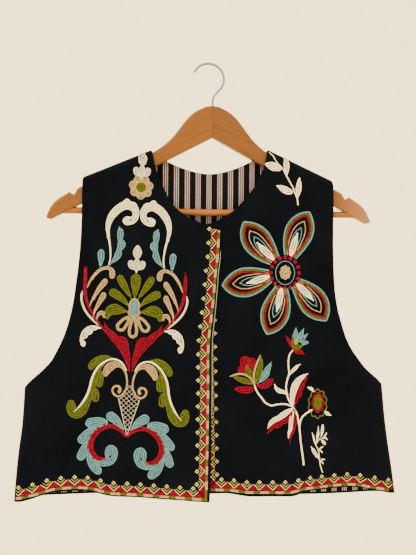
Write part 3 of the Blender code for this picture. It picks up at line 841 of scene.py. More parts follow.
def rows_in(spine, threads, pitch=ROW_PITCH, lobes=None):
    """Rows that fill a shape: (thread, line, sizes). threads go from the outside in."""
    middle, border = outline(spine, lobes)
    x, y = border[:, 0], border[:, 1]
    turning = np.sign(np.sum(x * np.roll(y, -1) - y * np.roll(x, -1)))
    tangent = np.roll(border, -1, 0) - np.roll(border, 1, 0)
    tangent /= np.maximum(np.linalg.norm(tangent, axis=1, keepdims=True), 1e-9)
    inward = np.stack([-tangent[:, 1], tangent[:, 0]], 1) * turning
    room = np.zeros(len(border))
    open_yet = np.ones(len(border), bool)
    for reach in np.arange(REACH_STEP, clearance(middle, border).max() + REACH_STEP, REACH_STEP):
        open_yet &= clearance(border + inward * reach, border) > reach - SLACK
        room[open_yet] = reach
    rows = []
    for k in range(int(room.max() / pitch + ROUND_UP)):
        inset = (k + 0.5) * pitch
        moved = border + inward * inset
        keep = (clearance(moved, border) > inset - SLACK) & (room > inset + ROW_ROOM * pitch)
        thread = threads[min(k, len(threads) - 1)]
        if thread and keep.sum() > 3:
            rows += [(thread, line, np.ones(len(line))) for line in strands(moved, keep)]
    apart = np.linalg.norm(middle[:, None] - border[None], axis=2)
    full = np.floor(room[np.argmin(apart, axis=1)] / pitch + ROUND_UP)
    left = apart.min(axis=1) - full * pitch
    for part in stretches(np.arange(len(middle)), left > STRIP * pitch):
        thread = threads[min(int(np.median(full[part])), len(threads) - 1)]
        if thread:
            rows.append((thread, middle[part], np.clip(left[part] / (0.5 * pitch), THINNEST, THICKEST)))
    return rows


def ring(centre, radius_u, radius_v, lobes=0, deep=0.0):
    """A closed round row; lobes point down and are shared out evenly from there."""
    a = np.linspace(0, 2 * np.pi, RING_PLACES)
    grow = 1 - deep * (1 - np.abs(np.cos(lobes * a / 2))) if lobes else np.ones(RING_PLACES)
    return np.stack([centre[0] + radius_u * grow * np.sin(a), centre[1] + radius_v * grow * np.cos(a)], 1)


print("a petal takes", len(rows_in(PETAL_SPINE, ["olive"])), "rows")

# %% [markdown]
# ## Two drawing sheets
# The maker draws each front's design on its own sheet, in millimetres, and lays it on the
# cloth. The right front's design is symmetrical about an axis that leans a little, so
# half of it is drawn and turned over. The left front's flower and sprays are drawn about
# the big flower's middle.

# %% Sheets and mirrors
AXIS_TOP = np.array([-0.09453, -0.17258])
AXIS_DOWN = np.array([-0.04987, -0.99876])
AXIS_OUT = np.array([0.99876, -0.04987])
FLOWER = np.array([0.10540, -0.28685])
# Below this line the right sheet's rows slant a little, as the drawing does there.
SLANT = 0.04
SLANT_FROM = 180
SLANT_OVER = 80
stitch_rows = {-1: [], 1: []}


def right_sheet(uv):
    """Sheet millimetres to flat places on the right front; v runs down the axis."""
    v = uv[:, 1] + SLANT * smooth((uv[:, 1] - SLANT_FROM) / SLANT_OVER) * uv[:, 0]
    return AXIS_TOP + AXIS_OUT * uv[:, :1] / 1000 + AXIS_DOWN * v[:, None] / 1000


def left_sheet(uv):
    """Sheet millimetres to flat places on the left front; v runs down from the flower."""
    return FLOWER + uv * np.array([1.0, -1.0]) / 1000


def work(side, rows, mirror=False, size=1.0):
    """Lays rows on a front, and their mirror image too if asked."""
    sheet = right_sheet if side < 0 else left_sheet
    for thread, line, *sizes in rows:
        sizes = (sizes[0] if sizes else np.ones(len(line))) * size
        stitch_rows[side].append((thread, sheet(line), sizes))
        if mirror:
            stitch_rows[side].append((thread, sheet(line * np.array([-1.0, 1.0])), sizes))


def shapes(side, table, size=1.0):
    """Shapes as thread, spine and lobes, if any. On the right front each has its mirror image."""
    for thread, spine, *lobes in table:
        work(side, rows_in(spine, [thread], ROW_PITCH, *lobes), side < 0, size)


print("sheets ready")

# %% [markdown]
# ## The right front: buds, rosette and scrolls
# From the shoulder down: a three-lobed bud, a rosette with a green heart, and two cream
# scrolls that face each other, with small bumps along their crowns. Blue leaves grow out
# from their tails. The same bud comes back lower down, so one loop works both.

# %% Bud, rosette, scrolls
BUD_DROPS = (0.0, 127.0)
BUD_MIDDLE = (
    ((0, -28, 4), (0, -33, 10.5), (0, -38, 12.4), (0, -43, 9), (0, -48, 1)),
    ((0, -9.5, 1), (0, -16, 7.5), (0, -23, 8), (0, -29, 6)),
)
BUD_SIDE = ((2, -13.5, 2), (7.4, -18.8, 8), (7.9, -26.5, 8.6))


def lowered(spine, drop):
    """The same spine, further down the sheet."""
    return [(u, v + drop, width) for u, v, width in spine]


for drop in BUD_DROPS:
    for spine in BUD_MIDDLE:
        work(-1, rows_in(lowered(spine, drop), ["grey_white"]))
    shapes(-1, [("grey_white", lowered(BUD_SIDE, drop))])
for radius, deep in ((15.6, 0.21), (12.6, 0.16), (9.8, 0.08), (7.6, 0.0)):
    work(-1, [("tan", ring((0, 0.8), radius, radius, 7, deep))])
work(-1, [("olive", ring((0, 0.5), radius, radius)) for radius in (5.1, 2.6, 0.6)])
shapes(-1, (
    ("cream", ((22.3, 46.5, 8.5), (16, 47.4, 12.5), (9, 46, 10.5), (5, 39.5, 9), (7.5, 30.5, 11),
        (17, 26.4, 12), (27.5, 31, 11.5), (36, 40.5, 10.5), (40.3, 50, 8.4), (41.5, 60, 6), (40, 70, 4.2),
        (37.8, 80, 3.4), (36.3, 90, 2.6), (36, 100, 2.2), (38, 109, 1.4))),
    ("cream", ((4.6, 25.8, 2), (8.3, 22.9, 2.8), (12.6, 22.4, 2))),
    ("cream", ((13.6, 21.4, 2), (18, 18.8, 2.8), (22.6, 21.6, 2))),
    ("blue", ((26.5, 56.5, 1), (24.6, 62.5, 8.6), (24.3, 68, 9.5), (24.2, 73.5, 7.2), (22.2, 80, 11.8),
        (24.8, 88, 7.4), (25.3, 93, 9.6), (28.5, 99.5, 7.6), (33.5, 105, 4.2), (39, 111, 1.2))),
    ("blue", ((48.7, 88, 6.5), (48.8, 94, 9.8), (48.5, 100, 9.2), (48.5, 107, 5.4), (49, 116.5, 1.2))),
))
print(len(stitch_rows[-1]), "rows so far")

# %% [markdown]
# ## The right front: the palmette in its heart
# Seven green petals fan out from a small blue vase. Tan scrolls and drops stand beside
# them, and red and white stems close round them into a heart.

# %% Palmette and heart
VASE = ((0, 151.5, 3), (0, 156, 12), (0, 161.5, 16.5), (0, 167, 14.6), (0, 172, 17.4), (0, 178.5, 13))
TOP_PETAL = ((0, 153.5, 1.5), (0, 146, 6.4), (0, 139, 10.4), (0, 131, 14), (0, 125, 14.4), (0, 118.5, 9.5))
LOOP_DOWN = ((0, 177, 6), (0, 187, 11), (0, 197, 14), (0, 206.5, 11))
LOOP_ASIDE = ((5, 177, 5), (11, 184, 12), (16.5, 191.5, 14), (20.5, 197, 10.5))
work(-1, rows_in(VASE, ["tan", "blue"], 2.5))
work(-1, rows_in(TOP_PETAL, ["olive"]))
work(-1, rows_in(LOOP_DOWN, ["tan", "tan", None], 2.1), False, 0.8)
work(-1, rows_in(LOOP_ASIDE, ["tan", "tan", None], 2.1), True, 0.8)
shapes(-1, (
    ("olive", ((4, 154, 1.5), (8.5, 146.5, 5.5), (13, 139.5, 8.5), (17, 133, 10.6), (20.5, 127, 10.2),
        (23, 121.5, 7))),
    ("olive", ((8.5, 162.5, 2), (14, 156.3, 7.5), (20, 151.5, 10.5), (26, 147.8, 12), (30.5, 145, 11.5),
        (33.8, 142, 7))),
    ("olive", ((8, 170.8, 2), (13.5, 170, 6.5), (20, 169, 12.5), (27, 168.5, 15.5), (32.5, 171.5, 14),
        (35.5, 177, 8.4), (35, 182.5, 4.5))),
    ("red", ((66.5, 113.5, 1), (67.4, 122, 4.8), (67.6, 133, 5.4), (67, 145, 5.2), (65.3, 155, 4.8),
        (62, 164.5, 4.4), (57.5, 173, 4), (52, 181, 3.8), (46, 188.5, 3.4), (39.5, 196.5, 3),
        (35, 202, 2))),
    ("grey_white", ((70.5, 146, 1), (71.5, 152, 3.8), (70.7, 159.5, 4.2), (67.6, 168, 4.2), (63.3, 175, 4),
        (58, 181, 3.6), (52.5, 186.3, 2.6), (47, 191.5, 1.5))),
    ("tan", ((32.6, 127.5, 6), (32, 121, 8.4), (33.5, 115.7, 7), (38, 112.9, 5.2), (43.5, 113.6, 5),
        (50, 117, 4.8), (56, 123.8, 4.4), (61, 132, 3.6), (64.5, 141, 1.5))),
    ("tan", ((39.7, 127.5, 6), (42.3, 133, 8.5), (46, 138, 7.8), (50, 144, 6.5), (54.5, 152.5, 4.6),
        (58, 160, 3), (60.5, 168, 1.2))),
    ("tan", ((41.2, 146, 6), (43, 152, 8.2), (46, 158, 7), (49.5, 165, 5.4), (53, 173, 3.7),
        (54.5, 182, 1.2))),
    ("tan", ((49.3, 187, 1.5), (49, 180, 3.6), (45.8, 174.6, 5.6), (41.5, 174.5, 6), (39.5, 178.5, 4.5),
        (39.5, 182.5, 3))),
    ("cream", ((43.5, 195, 1.5), (49.5, 195, 6), (56, 197.3, 10.6), (61.5, 202, 12), (65.8, 208, 9),
        (67.2, 213.5, 6.8), (65.5, 218.5, 7.4), (64.5, 222.5, 5.5)), (4, 2.2, 1)),
    ("red", ((1.8, 252, 1), (3.5, 242, 5.5), (6, 232, 9.5), (9.7, 223, 13), (14.5, 213.5, 18),
        (22.2, 209.2, 11.6), (29, 202.5, 9.8), (34.8, 196.3, 6.2), (39, 186.5, 0.6))),
))
work(-1, rows_in(((-67.6, 112.5, 4.4), (-68.2, 118, 4.8), (-68.2, 124, 4.8)), ["red"]))
print(len(stitch_rows[-1]), "rows so far")

# %% [markdown]
# ## The right front: acanthus, lattice and the blue wreath
# Lower down, green acanthus leaves hang on white ribs, tan scrolls curl in under them,
# and a lattice of single threads fills the space between. Two red arcs with blue leaves
# round them end the design.

# %% Acanthus, lattice, wreath
shapes(-1, (
    ("cream", ((5.5, 251, 1.2), (9, 244.5, 2.4), (14, 239.5, 2.8), (21, 236.8, 3), (29, 237.5, 3.2),
        (36.5, 242, 3.3), (43.5, 249, 3.3), (49, 259, 3.5), (52, 269, 3.8), (54, 280, 3.8),
        (57.5, 290.5, 3.6), (62.5, 299.5, 3), (67.5, 306.5, 2.2), (73, 312.5, 1))),
    ("olive", ((25.5, 234.6, 1), (33, 234, 5), (40, 236.5, 8.4), (47, 241.5, 10.4), (52, 247, 10),
        (54.3, 254, 7))),
    ("olive", ((40.5, 253, 4), (39.5, 262, 8.5), (40.6, 270, 9.6), (41, 276.5, 8))),
    ("olive", ((46, 277, 4), (44.8, 284, 9), (45, 291, 10), (46, 296.5, 8))),
    ("olive", ((72.5, 307.5, 5), (74.6, 300.5, 6.5))),
    ("olive", ((35, 243.5, 1.5), (42.5, 253.5, 4.4), (46.5, 263, 6.4), (48, 272, 6.4), (50, 281, 6.4),
        (52.5, 290, 7), (56, 300, 9), (60.5, 308, 12.5), (67, 313.5, 14), (73.5, 312.5, 15),
        (77, 306.5, 13), (76.3, 300.5, 11), (74.6, 297, 8))),
    ("tan", ((33.5, 261, 4.5), (32.3, 254, 10), (27.5, 247, 12), (20.5, 243.7, 9), (14, 245, 5.6),
        (9, 249.5, 3.8), (5.3, 257.5, 3.3), (3.8, 267, 3), (5, 276.5, 2.8), (9.5, 283.8, 3),
        (15.5, 286, 3.2), (21, 283, 3.6), (22.8, 277.5, 3.8), (20, 273, 3.8), (15.5, 272.7, 4),
        (12.9, 275.6, 4.2), (13.4, 279.2, 4.6), (16, 280.2, 3.4))),
))
LATTICE = ((0, 266), (14.3, 289), (0, 337), (-14.3, 289))
LATTICE_STEP = 6.4
LATTICE_SLANT = 0.92


def lattice(corners):
    """Two families of slanted lines, kept inside a four-cornered field."""
    field = np.array(corners, float)
    rows = []
    for slant in (-LATTICE_SLANT, LATTICE_SLANT):
        for start in np.arange(240, 380, LATTICE_STEP):
            s = np.linspace(-20, 20, 161)
            line = np.stack([s, start + slant * s], 1)
            inside = np.ones(len(line), bool)
            for a, b in zip(field, np.roll(field, -1, axis=0)):
                inside &= (b[0] - a[0]) * (line[:, 1] - a[1]) - (b[1] - a[1]) * (line[:, 0] - a[0]) > 0
            rows += [("grey_white", part) for part in stretches(line, inside)]
    return rows


work(-1, [("grey_white", np.array([[14.4, 288.0], [0.3, 337.0]]))], True, 0.34)
work(-1, lattice(LATTICE), False, 0.18)
RED_ARC = ((0, 339.6, 3.8), (6, 333.3, 5), (13, 328.8, 5.6), (21, 327, 6), (29, 328.5, 6.4),
           (37, 333.5, 6.8), (43.5, 341, 7.2), (47.3, 350, 7.6), (47.3, 359, 7.6), (43.5, 367, 7),
           (37, 371.8, 6), (30, 372.5, 4.6), (23, 368.5, 1.4))
work(-1, rows_in(RED_ARC, ["red"]), True, 1.14)
shapes(-1, (
    ("blue", ((4.5, 330, 2), (11, 323, 8.5), (17, 317.5, 12.5), (22.5, 314, 13.5), (28.5, 310.5, 9.5))),
    ("blue", ((26, 323.5, 6), (33, 322.5, 11.5), (41, 323.5, 14.5), (49, 325.3, 14.5), (56.5, 327.4, 9))),
    ("blue", ((41.5, 330.5, 5), (48, 336.5, 12), (55, 343.5, 13.5), (60.5, 349.5, 12.5), (64, 353.5, 8))),
    ("blue", ((51, 350.5, 5), (54.5, 358.5, 11), (57.5, 366, 13), (60, 372, 12), (61.2, 377.5, 8))),
    ("blue", ((49.5, 364, 6), (46.5, 373.5, 12), (42, 382, 14), (36.5, 388, 12.5), (31.8, 392.5, 8))),
    ("blue", ((41, 374.5, 2), (34, 378, 6.5), (27.5, 377, 10.5), (21, 371.8, 15), (19.3, 363, 18),
        (21, 352, 13))),
    ("blue", ((26.3, 371.3, 3), (26, 368, 3))),
))
print(len(stitch_rows[-1]), "rows on the right front before its border")

# %% [markdown]
# ## The left front: a sprig and a big flower
# A white sprig comes over the shoulder seam. Below it is a flower drawn on six even
# divisions, with one petal left out on the side of the armhole. Each petal is a nest of
# outlines in four colours about a small white leaf. Sixteen knots, a thin ring and a
# rosette make its heart.

# %% Sprig and flower
shapes(1, (
    ("cream", ((-24, -165, 1.6), (-17.3, -158.8, 1.8), (-11.8, -150.5, 1.9), (-4.7, -143.3, 2.1),
        (0.3, -134.4, 2.4), (5.3, -125.6, 2.3), (10.4, -116.8, 2.3), (13.2, -109.5, 2.3), (16.4, -102, 2.3),
        (17.8, -93, 2.6))),
    ("cream", ((-6.5, -141.5, 4), (-12, -144, 9.5), (-18, -146, 12.5), (-24, -148, 9), (-29.5, -149.3, 3))),
    ("cream", ((1.2, -134, 1.5), (1.2, -140, 6), (0.8, -147, 8.8), (0, -154, 7), (-0.8, -159.5, 4))),
    ("cream", ((10.5, -111.5, 3.5), (5, -111.6, 9), (-1, -113.8, 10.5), (-7, -117, 7.5),
        (-13.3, -119.6, 1.2))),
    ("cream", ((17, -103, 1.2), (17.5, -109, 6), (18.2, -116, 8.9), (18.8, -123, 7.5), (19.3, -131.5, 1))),
))
# Each outline of a petal: distance from the middle, offset to one side, width.
PETAL = {
    "outer": ((10, 0, 12), (22, 1.2, 19.5), (35, 2.3, 31), (48, 2.9, 39), (58, 2.9, 41.5), (68, 2.5, 38.5),
        (78, 1.7, 29.5), (85, 0.9, 18), (91.3, 0, 2)),
    "tan": ((20, 1.5, 9), (34, 2.6, 16), (44, 3, 18.9), (54, 3.1, 20), (64, 2.8, 17), (70.5, 2.3, 10.5),
        (76, 1.6, 1)),
    "blue": ((22, 1.6, 7), (36, 2.8, 11), (50, 3.3, 12.4), (58, 3, 9.8), (66, 2.5, 1)),
    "leaf": ((21, 1.3, 3), (27, 1.9, 6.6), (34, 2.6, 9.2), (42, 3.5, 9.2), (50, 4.1, 5.8), (57, 4.4, 0.8)),
}
PETAL_ANGLES = (67.9, 130.5, 192.1, 253.4, 310.9)
KNOTS = 16
# The petals' rows stop at this distance from the middle and leave room for the knots.
HEART = 23.5


def petal(part, degrees, threads, pitch=ROW_PITCH, size=1.0):
    """Works one outline of a petal that points at an angle, 90 being up; the base is open."""
    a = math.radians(degrees)
    out, across = np.array([math.cos(a), -math.sin(a)]), np.array([-math.sin(a), -math.cos(a)])
    spine = [(*(out * r + across * offset), width) for r, offset, width in PETAL[part]]
    for thread, line, _ in rows_in(spine, threads, pitch):
        for piece in stretches(line, np.linalg.norm(line, axis=1) > HEART):
            work(1, [(thread, piece)], False, size)


for k in range(KNOTS):
    a = math.radians(360 / KNOTS * k)
    place = (-0.4 + 20.0 * math.cos(a), 1.4 - 21.4 * math.sin(a))
    work(1, [("red", ring(place, 1.6, 1.8)), ("red", ring(place, 0.4, 0.5))], False, 0.85)
for degrees in PETAL_ANGLES:
    petal("leaf", degrees, ["cream"])
    petal("outer", degrees, ["blue", "olive", "red", None], 2.7)
    petal("tan", degrees, ["tan", None], 1.7, 0.6)
    petal("blue", degrees, ["blue", None], 1.5, 0.52)
work(1, [("blue", ring((-0.2, 1.5), 13.4, 16.3))], False, 0.46)
for shrink, deep in ((0.0, 0.17), (2.5, 0.12), (4.9, 0.0)):
    work(1, [("tan", ring((0, 1.0), 7.0 - shrink, 9.0 - shrink, 8, deep))], False, 0.95)
work(1, [("ecru", ring((0, 1.0), 0.5, 0.6))], False, 0.9)
print(len(stitch_rows[1]), "rows so far")

# %% [markdown]
# ## The left front: the leafy spray
# Below the flower a branching spray grows from the hem: a tulip bud, an open rose, a
# strawberry and three feathered leaves, half white and half red, on thin white stems.
# The stems and leaves are worked first, so that what grows on them can lie against them.

# %% Stems, leaves and bud
shapes(1, (
    ("cream", ((26.3, 267.5, 3.4), (25, 256, 3), (23.2, 244, 3), (21.6, 231, 3), (20.6, 219, 3),
        (19, 208, 3), (17, 198, 3), (13.5, 190.5, 2.8), (9.8, 185, 2.8), (6, 178.5, 2.8), (3.4, 172, 2.8),
        (2, 164, 2.8), (1.8, 157.5, 2.8), (3.5, 149, 2.8), (5.8, 141.5, 2.8), (5.2, 133, 2.6),
        (4.8, 125, 2.6), (6, 117, 2.6), (8.3, 112.2, 2.5), (11.5, 108.5, 2.2))),
    ("cream", ((12, 188, 2), (4, 184, 2.8), (-4, 183, 2.8), (-12, 183.8, 2.8), (-19, 185, 2.9),
        (-26.5, 181.3, 3), (-32, 175, 2.9), (-37.5, 168, 2.8), (-41, 161.5, 2.7), (-42.5, 156, 2.2))),
    ("cream", ((20.5, 214, 2.6), (21.8, 206.5, 3), (25.5, 200, 3), (31.5, 195.5, 3.2), (38.5, 191.5, 4.2))),
    ("cream", ((6.5, 143, 1.5), (10, 138.5, 4.5), (14, 134.5, 5.6), (18, 130.8, 4), (21.8, 128.2, 0.8))),
    ("cream", ((4, 170, 2), (-2, 166.5, 5.4), (-7.5, 165, 6.6), (-12, 161.5, 5), (-14.5, 155.5, 1))),
    ("cream", ((12, 188, 2.5), (10.3, 178, 6), (11.4, 168, 9), (14.3, 158.5, 10.6), (19, 151, 9),
        (25.5, 145.6, 6), (32.5, 141.4, 1))),
    ("red", ((13.5, 186, 1.5), (16.3, 177, 7), (20, 168.5, 9.8), (22.8, 161, 9), (25.8, 154, 8),
        (29, 148.5, 5.5), (32.3, 143.5, 1)), (4, 2.2, 1)),
    ("cream", ((11, 189.5, 3), (4, 193.6, 7.4), (-2.5, 198.2, 9), (-9, 202.2, 7.6), (-15.5, 205.4, 7.4),
        (-20.4, 210, 5.4), (-23.8, 216.5, 1))),
    ("red", ((12.5, 191, 2), (7, 198, 6), (1, 205, 9.4), (-6, 210, 9), (-12, 212.7, 8.5), (-18, 216, 6.6),
        (-24.3, 223.5, 1)), (4, 2.2, -1)),
    ("cream", ((11.5, 190.5, 2.5), (9.5, 199, 6), (8.5, 209, 6), (8, 217, 5.4), (6, 224, 3.8),
        (5.2, 230.5, 1))),
    ("red", ((13, 188.5, 2.5), (15, 196, 5.5), (14.5, 205, 5.6), (13.3, 213, 5.2), (11.3, 220.5, 4.8),
        (8.5, 227.5, 3), (6.8, 238, 0.8))),
    ("tan", ((16, 100.5, 7), (16, 93, 4))),
    ("olive", ((11.2, 86.5, 1.2), (11, 94, 4), (12, 101, 6), (16.5, 104.5, 8), (22, 103.5, 5),
        (27.5, 100.8, 1.5))),
    ("blue", ((17, 98, 5), (15.5, 88, 8), (15.6, 77.5, 1))),
    ("blue", ((20, 97, 5), (22.5, 88, 7), (26.5, 78.5, 1))),
    ("blue", ((22, 99, 5), (26, 92, 6), (32, 86, 1.2))),
    ("blue", ((24, 101, 3), (29, 98.5, 6), (33.5, 98.3, 3))),
    ("red", ((12.5, 108, 1.5), (8.8, 102.5, 4), (6, 96.5, 5), (3.5, 92, 4), (0.8, 89.3, 1))),
    ("red", ((12.5, 108, 2), (16.5, 111, 5.5), (21, 111.3, 7), (25, 113, 3.5), (27.6, 115.5, 0.8))),
))
print(len(stitch_rows[1]), "rows so far")

# %% [markdown]
# ## The left front: rose, strawberry and twig
# The rose stands on two tan stems, with green sepals, red petals and one blue one. The
# strawberry is a red ring round a green heart, inside a scalloped green edge. A small white
# twig grows from the hem beside them, in a slightly thinner yarn.

# %% Rose, strawberry and twig
shapes(1, (
    ("tan", ((-42.5, 155, 2.2), (-43.3, 147, 2.8), (-43, 139, 3.2), (-41, 131, 3.4), (-37.8, 123, 3.4),
        (-34.6, 115.5, 1.2))),
    ("tan", ((-43.5, 156, 1.8), (-45.8, 150.5, 2.8), (-50, 145.5, 3.6), (-56, 142.3, 4), (-63, 141.3, 4),
        (-70, 142.6, 3.2), (-77, 144.8, 1))),
    ("olive", ((-44.5, 150, 2), (-48.5, 142, 9), (-52, 134.5, 7.5), (-53.3, 128, 1))),
    ("olive", ((-41, 154.5, 1.5), (-38.5, 147, 6.5), (-36.3, 139, 9), (-34, 130, 7.5), (-33.2, 123, 4.5),
        (-33.8, 117, 1))),
    ("olive", ((-43.5, 155.5, 1.2), (-50, 153, 6.5), (-57.5, 150.5, 8.5), (-65.5, 147.8, 6),
        (-73.5, 144.8, 1))),
    ("blue", ((-38.5, 155, 1.2), (-32.5, 149.5, 6.5), (-27.5, 142.5, 11), (-24, 135, 8.5),
        (-20.8, 129, 4.5), (-18.8, 124.8, 0.8))),
    ("red", ((-54, 140, 8), (-59.5, 136, 11), (-62.6, 130.5, 10))),
    ("red", ((-52, 141, 8), (-54.8, 129, 15), (-56.3, 116.5, 13.5))),
    ("red", ((-45.5, 139, 6), (-46, 129, 10.5), (-47, 118.5, 12))),
    ("red", ((-43.8, 160, 5), (-49, 162.8, 10), (-56, 163.5, 10.5), (-63, 162.8, 8.5), (-70, 162.5, 3))),
    ("red", ((-40, 157, 2), (-33.5, 158.3, 7), (-27, 157, 10), (-21.5, 152.8, 9.5), (-17.5, 150, 5),
        (-14.3, 149.8, 1))),
    ("cream", ((41, 166.5, 2.2), (37, 162.3, 5.2), (32, 160.5, 1.2))),
    ("cream", ((57, 194, 2), (60.5, 197.3, 5.6), (66.3, 200.3, 1.2))),
))
work(1, [("olive", ring((46.5, 183.5), 13.6, 20.3, 10, 0.15))], False, 0.75)
work(1, [("red", ring((47, 181.7), 8.4, 13.6, 8, 0.2))])
for half_u, half_v in ((5.0, 9.6), (2.6, 7.0)):
    work(1, [("olive", ring((47, 181.7), half_u, half_v, 8, 0.1))])
work(1, [("olive", np.array([[47.0, 177.0], [47.0, 186.5]]))], False, 0.7)
shapes(1, [("cream", spine) for spine in (
    ((54.5, 280, 1.6), (51.5, 272, 2), (50.2, 266, 2), (49.3, 259, 2), (48.4, 252.5, 2), (47, 246.5, 2),
     (43.9, 240.7, 1.8)),
    ((43.5, 240.5, 1.5), (41.3, 232.5, 4.6), (38.6, 223, 0.8)),
    ((45, 237.5, 1.2), (46.8, 227, 4.8), (47.8, 215, 0.8)),
    ((44, 240, 1.6), (47, 235.5, 1.6), (50, 231.5, 1.6)),
    ((51.5, 230.5, 1.2), (53.5, 221, 5.2), (54, 212.5, 4)),
    ((53, 232, 1), (57, 229, 3.5), (59.8, 224.5, 3)),
    ((54, 232.5, 1), (58, 231.5, 3.5), (61, 234.5, 2)),
    ((50.8, 232.5, 1.2), (55.3, 237.5, 5), (59, 241.5, 3)),
    ((48.5, 248, 1), (51.5, 245, 4), (54.8, 243.3, 1.5)),
    ((49, 248, 1), (51.5, 249.5, 3.5), (54, 252, 1.5)),
    ((49.3, 261, 1.5), (45.3, 255.5, 5), (41, 249, 5.6), (37, 242, 1)),
    ((50.3, 264, 1), (53.5, 261.5, 3.8), (57.8, 262, 1.2)),
    ((50.5, 264.5, 1), (53.5, 265.5, 3), (55.5, 268, 1.2)),
)], 0.9)
print(len(stitch_rows[1]), "rows on the left front before its border")

# %% [markdown]
# ## The border
# A band of green and fawn blocks runs along the front edge and the hem of each front. Red
# triangles stand on it between pale zigzags, and in each notch of the zigzag there is a
# green chevron and a small diamond. The border is drawn in two numbers: s, the distance
# along the edge from the corner, and d, the depth in from the band's outer line. At the
# corner both arms end on a slanting line, as a mitre does.

# %% One repeat of the border
BAND_DEPTH = 3.5
BAND_ROWS = (0.9, 2.6)
BLOCK_GREEN = 8.9
BLOCK_END = 0.4
TRIANGLE_FOOT = 4.4
TRIANGLE_PITCH = 1.6
ZIGZAG_HIGH = 7.3
ZIGZAG_END = 1.2
CHEVRON = ((0, 4.2), (4.7, 8.5))
DIAMOND_RISE = 10.8
DIAMOND_HALF = 2.3
# How thick each part's yarn is, against that of the motifs.
YARN = {"block": 0.72, "triangle": 0.66, "zigzag": 0.53, "chevron": 0.56, "diamond": 0.5, "eye": 0.42}


def border_rows(centres, end, rise, phase, pitch, diamond="ecru"):
    """Rows of the border in (s, d), for diamonds at centres, up to the end of the edge."""
    rows = []
    top = rise + ZIGZAG_HIGH
    for block in np.arange(phase - pitch, end + pitch, pitch):
        for start, stop, thread in ((block, block + BLOCK_GREEN, "olive"),
                                    (block + BLOCK_GREEN, block + pitch, "fawn")):
            start, stop = max(start, 0.0), min(stop, end)
            thread = "olive" if start < phase - 0.5 else thread
            if stop - start > 1.0:
                rows += [(thread, [(start + BLOCK_END, d), (stop - BLOCK_END, d)], YARN["block"])
                         for d in BAND_ROWS]
    for before, s in zip(centres, centres[1:]):
        middle, half = (before + s) / 2, (s - before) / 2
        for d in np.arange(TRIANGLE_FOOT, top - 1.2, TRIANGLE_PITCH):
            reach = half * min((top - 0.9 - d) / ZIGZAG_HIGH, 1.0)
            rows.append(("red", [(middle - reach, d), (middle + reach, d)], YARN["triangle"]))
    for s, before, after in zip(centres[1:-1], centres, centres[2:]):
        for way, reach in ((-1, (s - before) / 2), (1, (after - s) / 2)):
            rows.append(("ecru", [(s, rise + 0.2), (s + way * (reach - ZIGZAG_END), top)], YARN["zigzag"]))
            rows.append(("moss", [(s + way * ds, rise + d) for ds, d in CHEVRON], YARN["chevron"]))
        square = np.array([(0, -1), (1, 0), (0, 1), (-1, 0), (0, -1)]) * DIAMOND_HALF
        square = square + (s, rise + DIAMOND_RISE)
        rows += [(diamond, [a, b], YARN["diamond"]) for a, b in zip(square, square[1:])]
        rows.append(("tan", [(s - 0.5, rise + DIAMOND_RISE), (s + 0.5, rise + DIAMOND_RISE)], YARN["eye"]))
    return rows


print(len(border_rows([-18, 0, 18], 18, 4.3, 0.0, 20.7)), "rows in a short border")

# %% [markdown]
# ## Laying the border along edge and hem
# The front edge of the upper front isn't straight, so the border's s and d are turned
# into flat places through the edge itself. Rows are cut where they would pass the mitre,
# the neckline or the side seam. On the front beneath, what the other front covers is left
# out, because nobody can see it and it would press into the cloth above.

# %% Lay it on both fronts
EDGE_RISE = 4.3
HEM_RISE = 5.2
HEM_END = 262.0
EDGE_END_GAP = 4
MITRE_GAP = 0.0006
BAND_PAST_MITRE = 0.002
BAND_PAST_CORNER = 0.0005
NECK_MARGIN = 0.0022
NECK_REACH = 0.08
SEAM_MARGIN = 0.0014
OVERLAP_MARGIN = 0.0012


def dense(line, step=0.25):
    """A line with a point every quarter millimetre, corners kept."""
    line = np.array(line, float)
    parts = [line[:1]]
    for a, b in zip(line, line[1:]):
        n = max(int(np.linalg.norm(b - a) / step), 1)
        parts.append(a + (b - a) * np.linspace(0, 1, n + 1)[1:, None])
    return np.concatenate(parts)


def marks(numbers, places):
    """Places of all diamonds, from those of a few, whose numbers count from the corner."""
    return np.interp(np.arange(numbers[0], numbers[-1] + 1), numbers, places)


def lay_border(side, edge, neck, hem, set_back, hem_back, edge_marks, hem_marks, corner, blocks):
    """Lays both arms of one front's border.

    The diamonds' marks are heights down the edge, and x along the hem. Blocks are the start
    of a green block and the pitch of the blocks, for the edge and for the hem.
    """
    corner_x, corner_z = corner
    arms = (("edge", [(z - corner_z) * 1000 for z in edge_marks], EDGE_RISE, blocks[0]),
            ("hem", [side * (x - corner_x) * 1000 for x in hem_marks], HEM_RISE, blocks[1]))
    for arm, centres, rise, block in arms:
        end = centres[-1] - EDGE_END_GAP if arm == "edge" else HEM_END
        # On the left front's edge the diamonds take the darker fawn yarn instead of ecru: painted shade,
        # where the upper front shades them.
        diamond = "fawn" if side > 0 and arm == "edge" else "ecru"
        for thread, path, size in border_rows(centres, end, rise, *block, diamond):
            line = dense(path)
            s, d = line[:, 0] / 1000, line[:, 1] / 1000
            if arm == "edge":
                z = corner_z + s
                x = read(edge, z, 1, 0) + side * (read(set_back, z, 1, 0) + d)
            else:
                x = corner_x + side * s
                z = read(hem, x) + read(hem_back, x) + d
            keep = (s > d + MITRE_GAP) if arm == "edge" else (s >= d)
            keep = keep | ((d < BAND_DEPTH / 1000) & (s > -BAND_PAST_CORNER) & (s > d - BAND_PAST_MITRE))
            keep &= z < np.where(np.abs(x) < NECK_REACH, read(neck, x), 0) - NECK_MARGIN
            keep &= np.abs(x) < half_width(z, side) - SEAM_MARGIN
            if side > 0:
                keep &= x > read(RIGHT_EDGE, z, 1, 0) + OVERLAP_MARGIN
            for part in stretches(np.stack([x, z], 1), keep):
                stitch_rows[side].append((thread, part, np.full(len(part), size)))


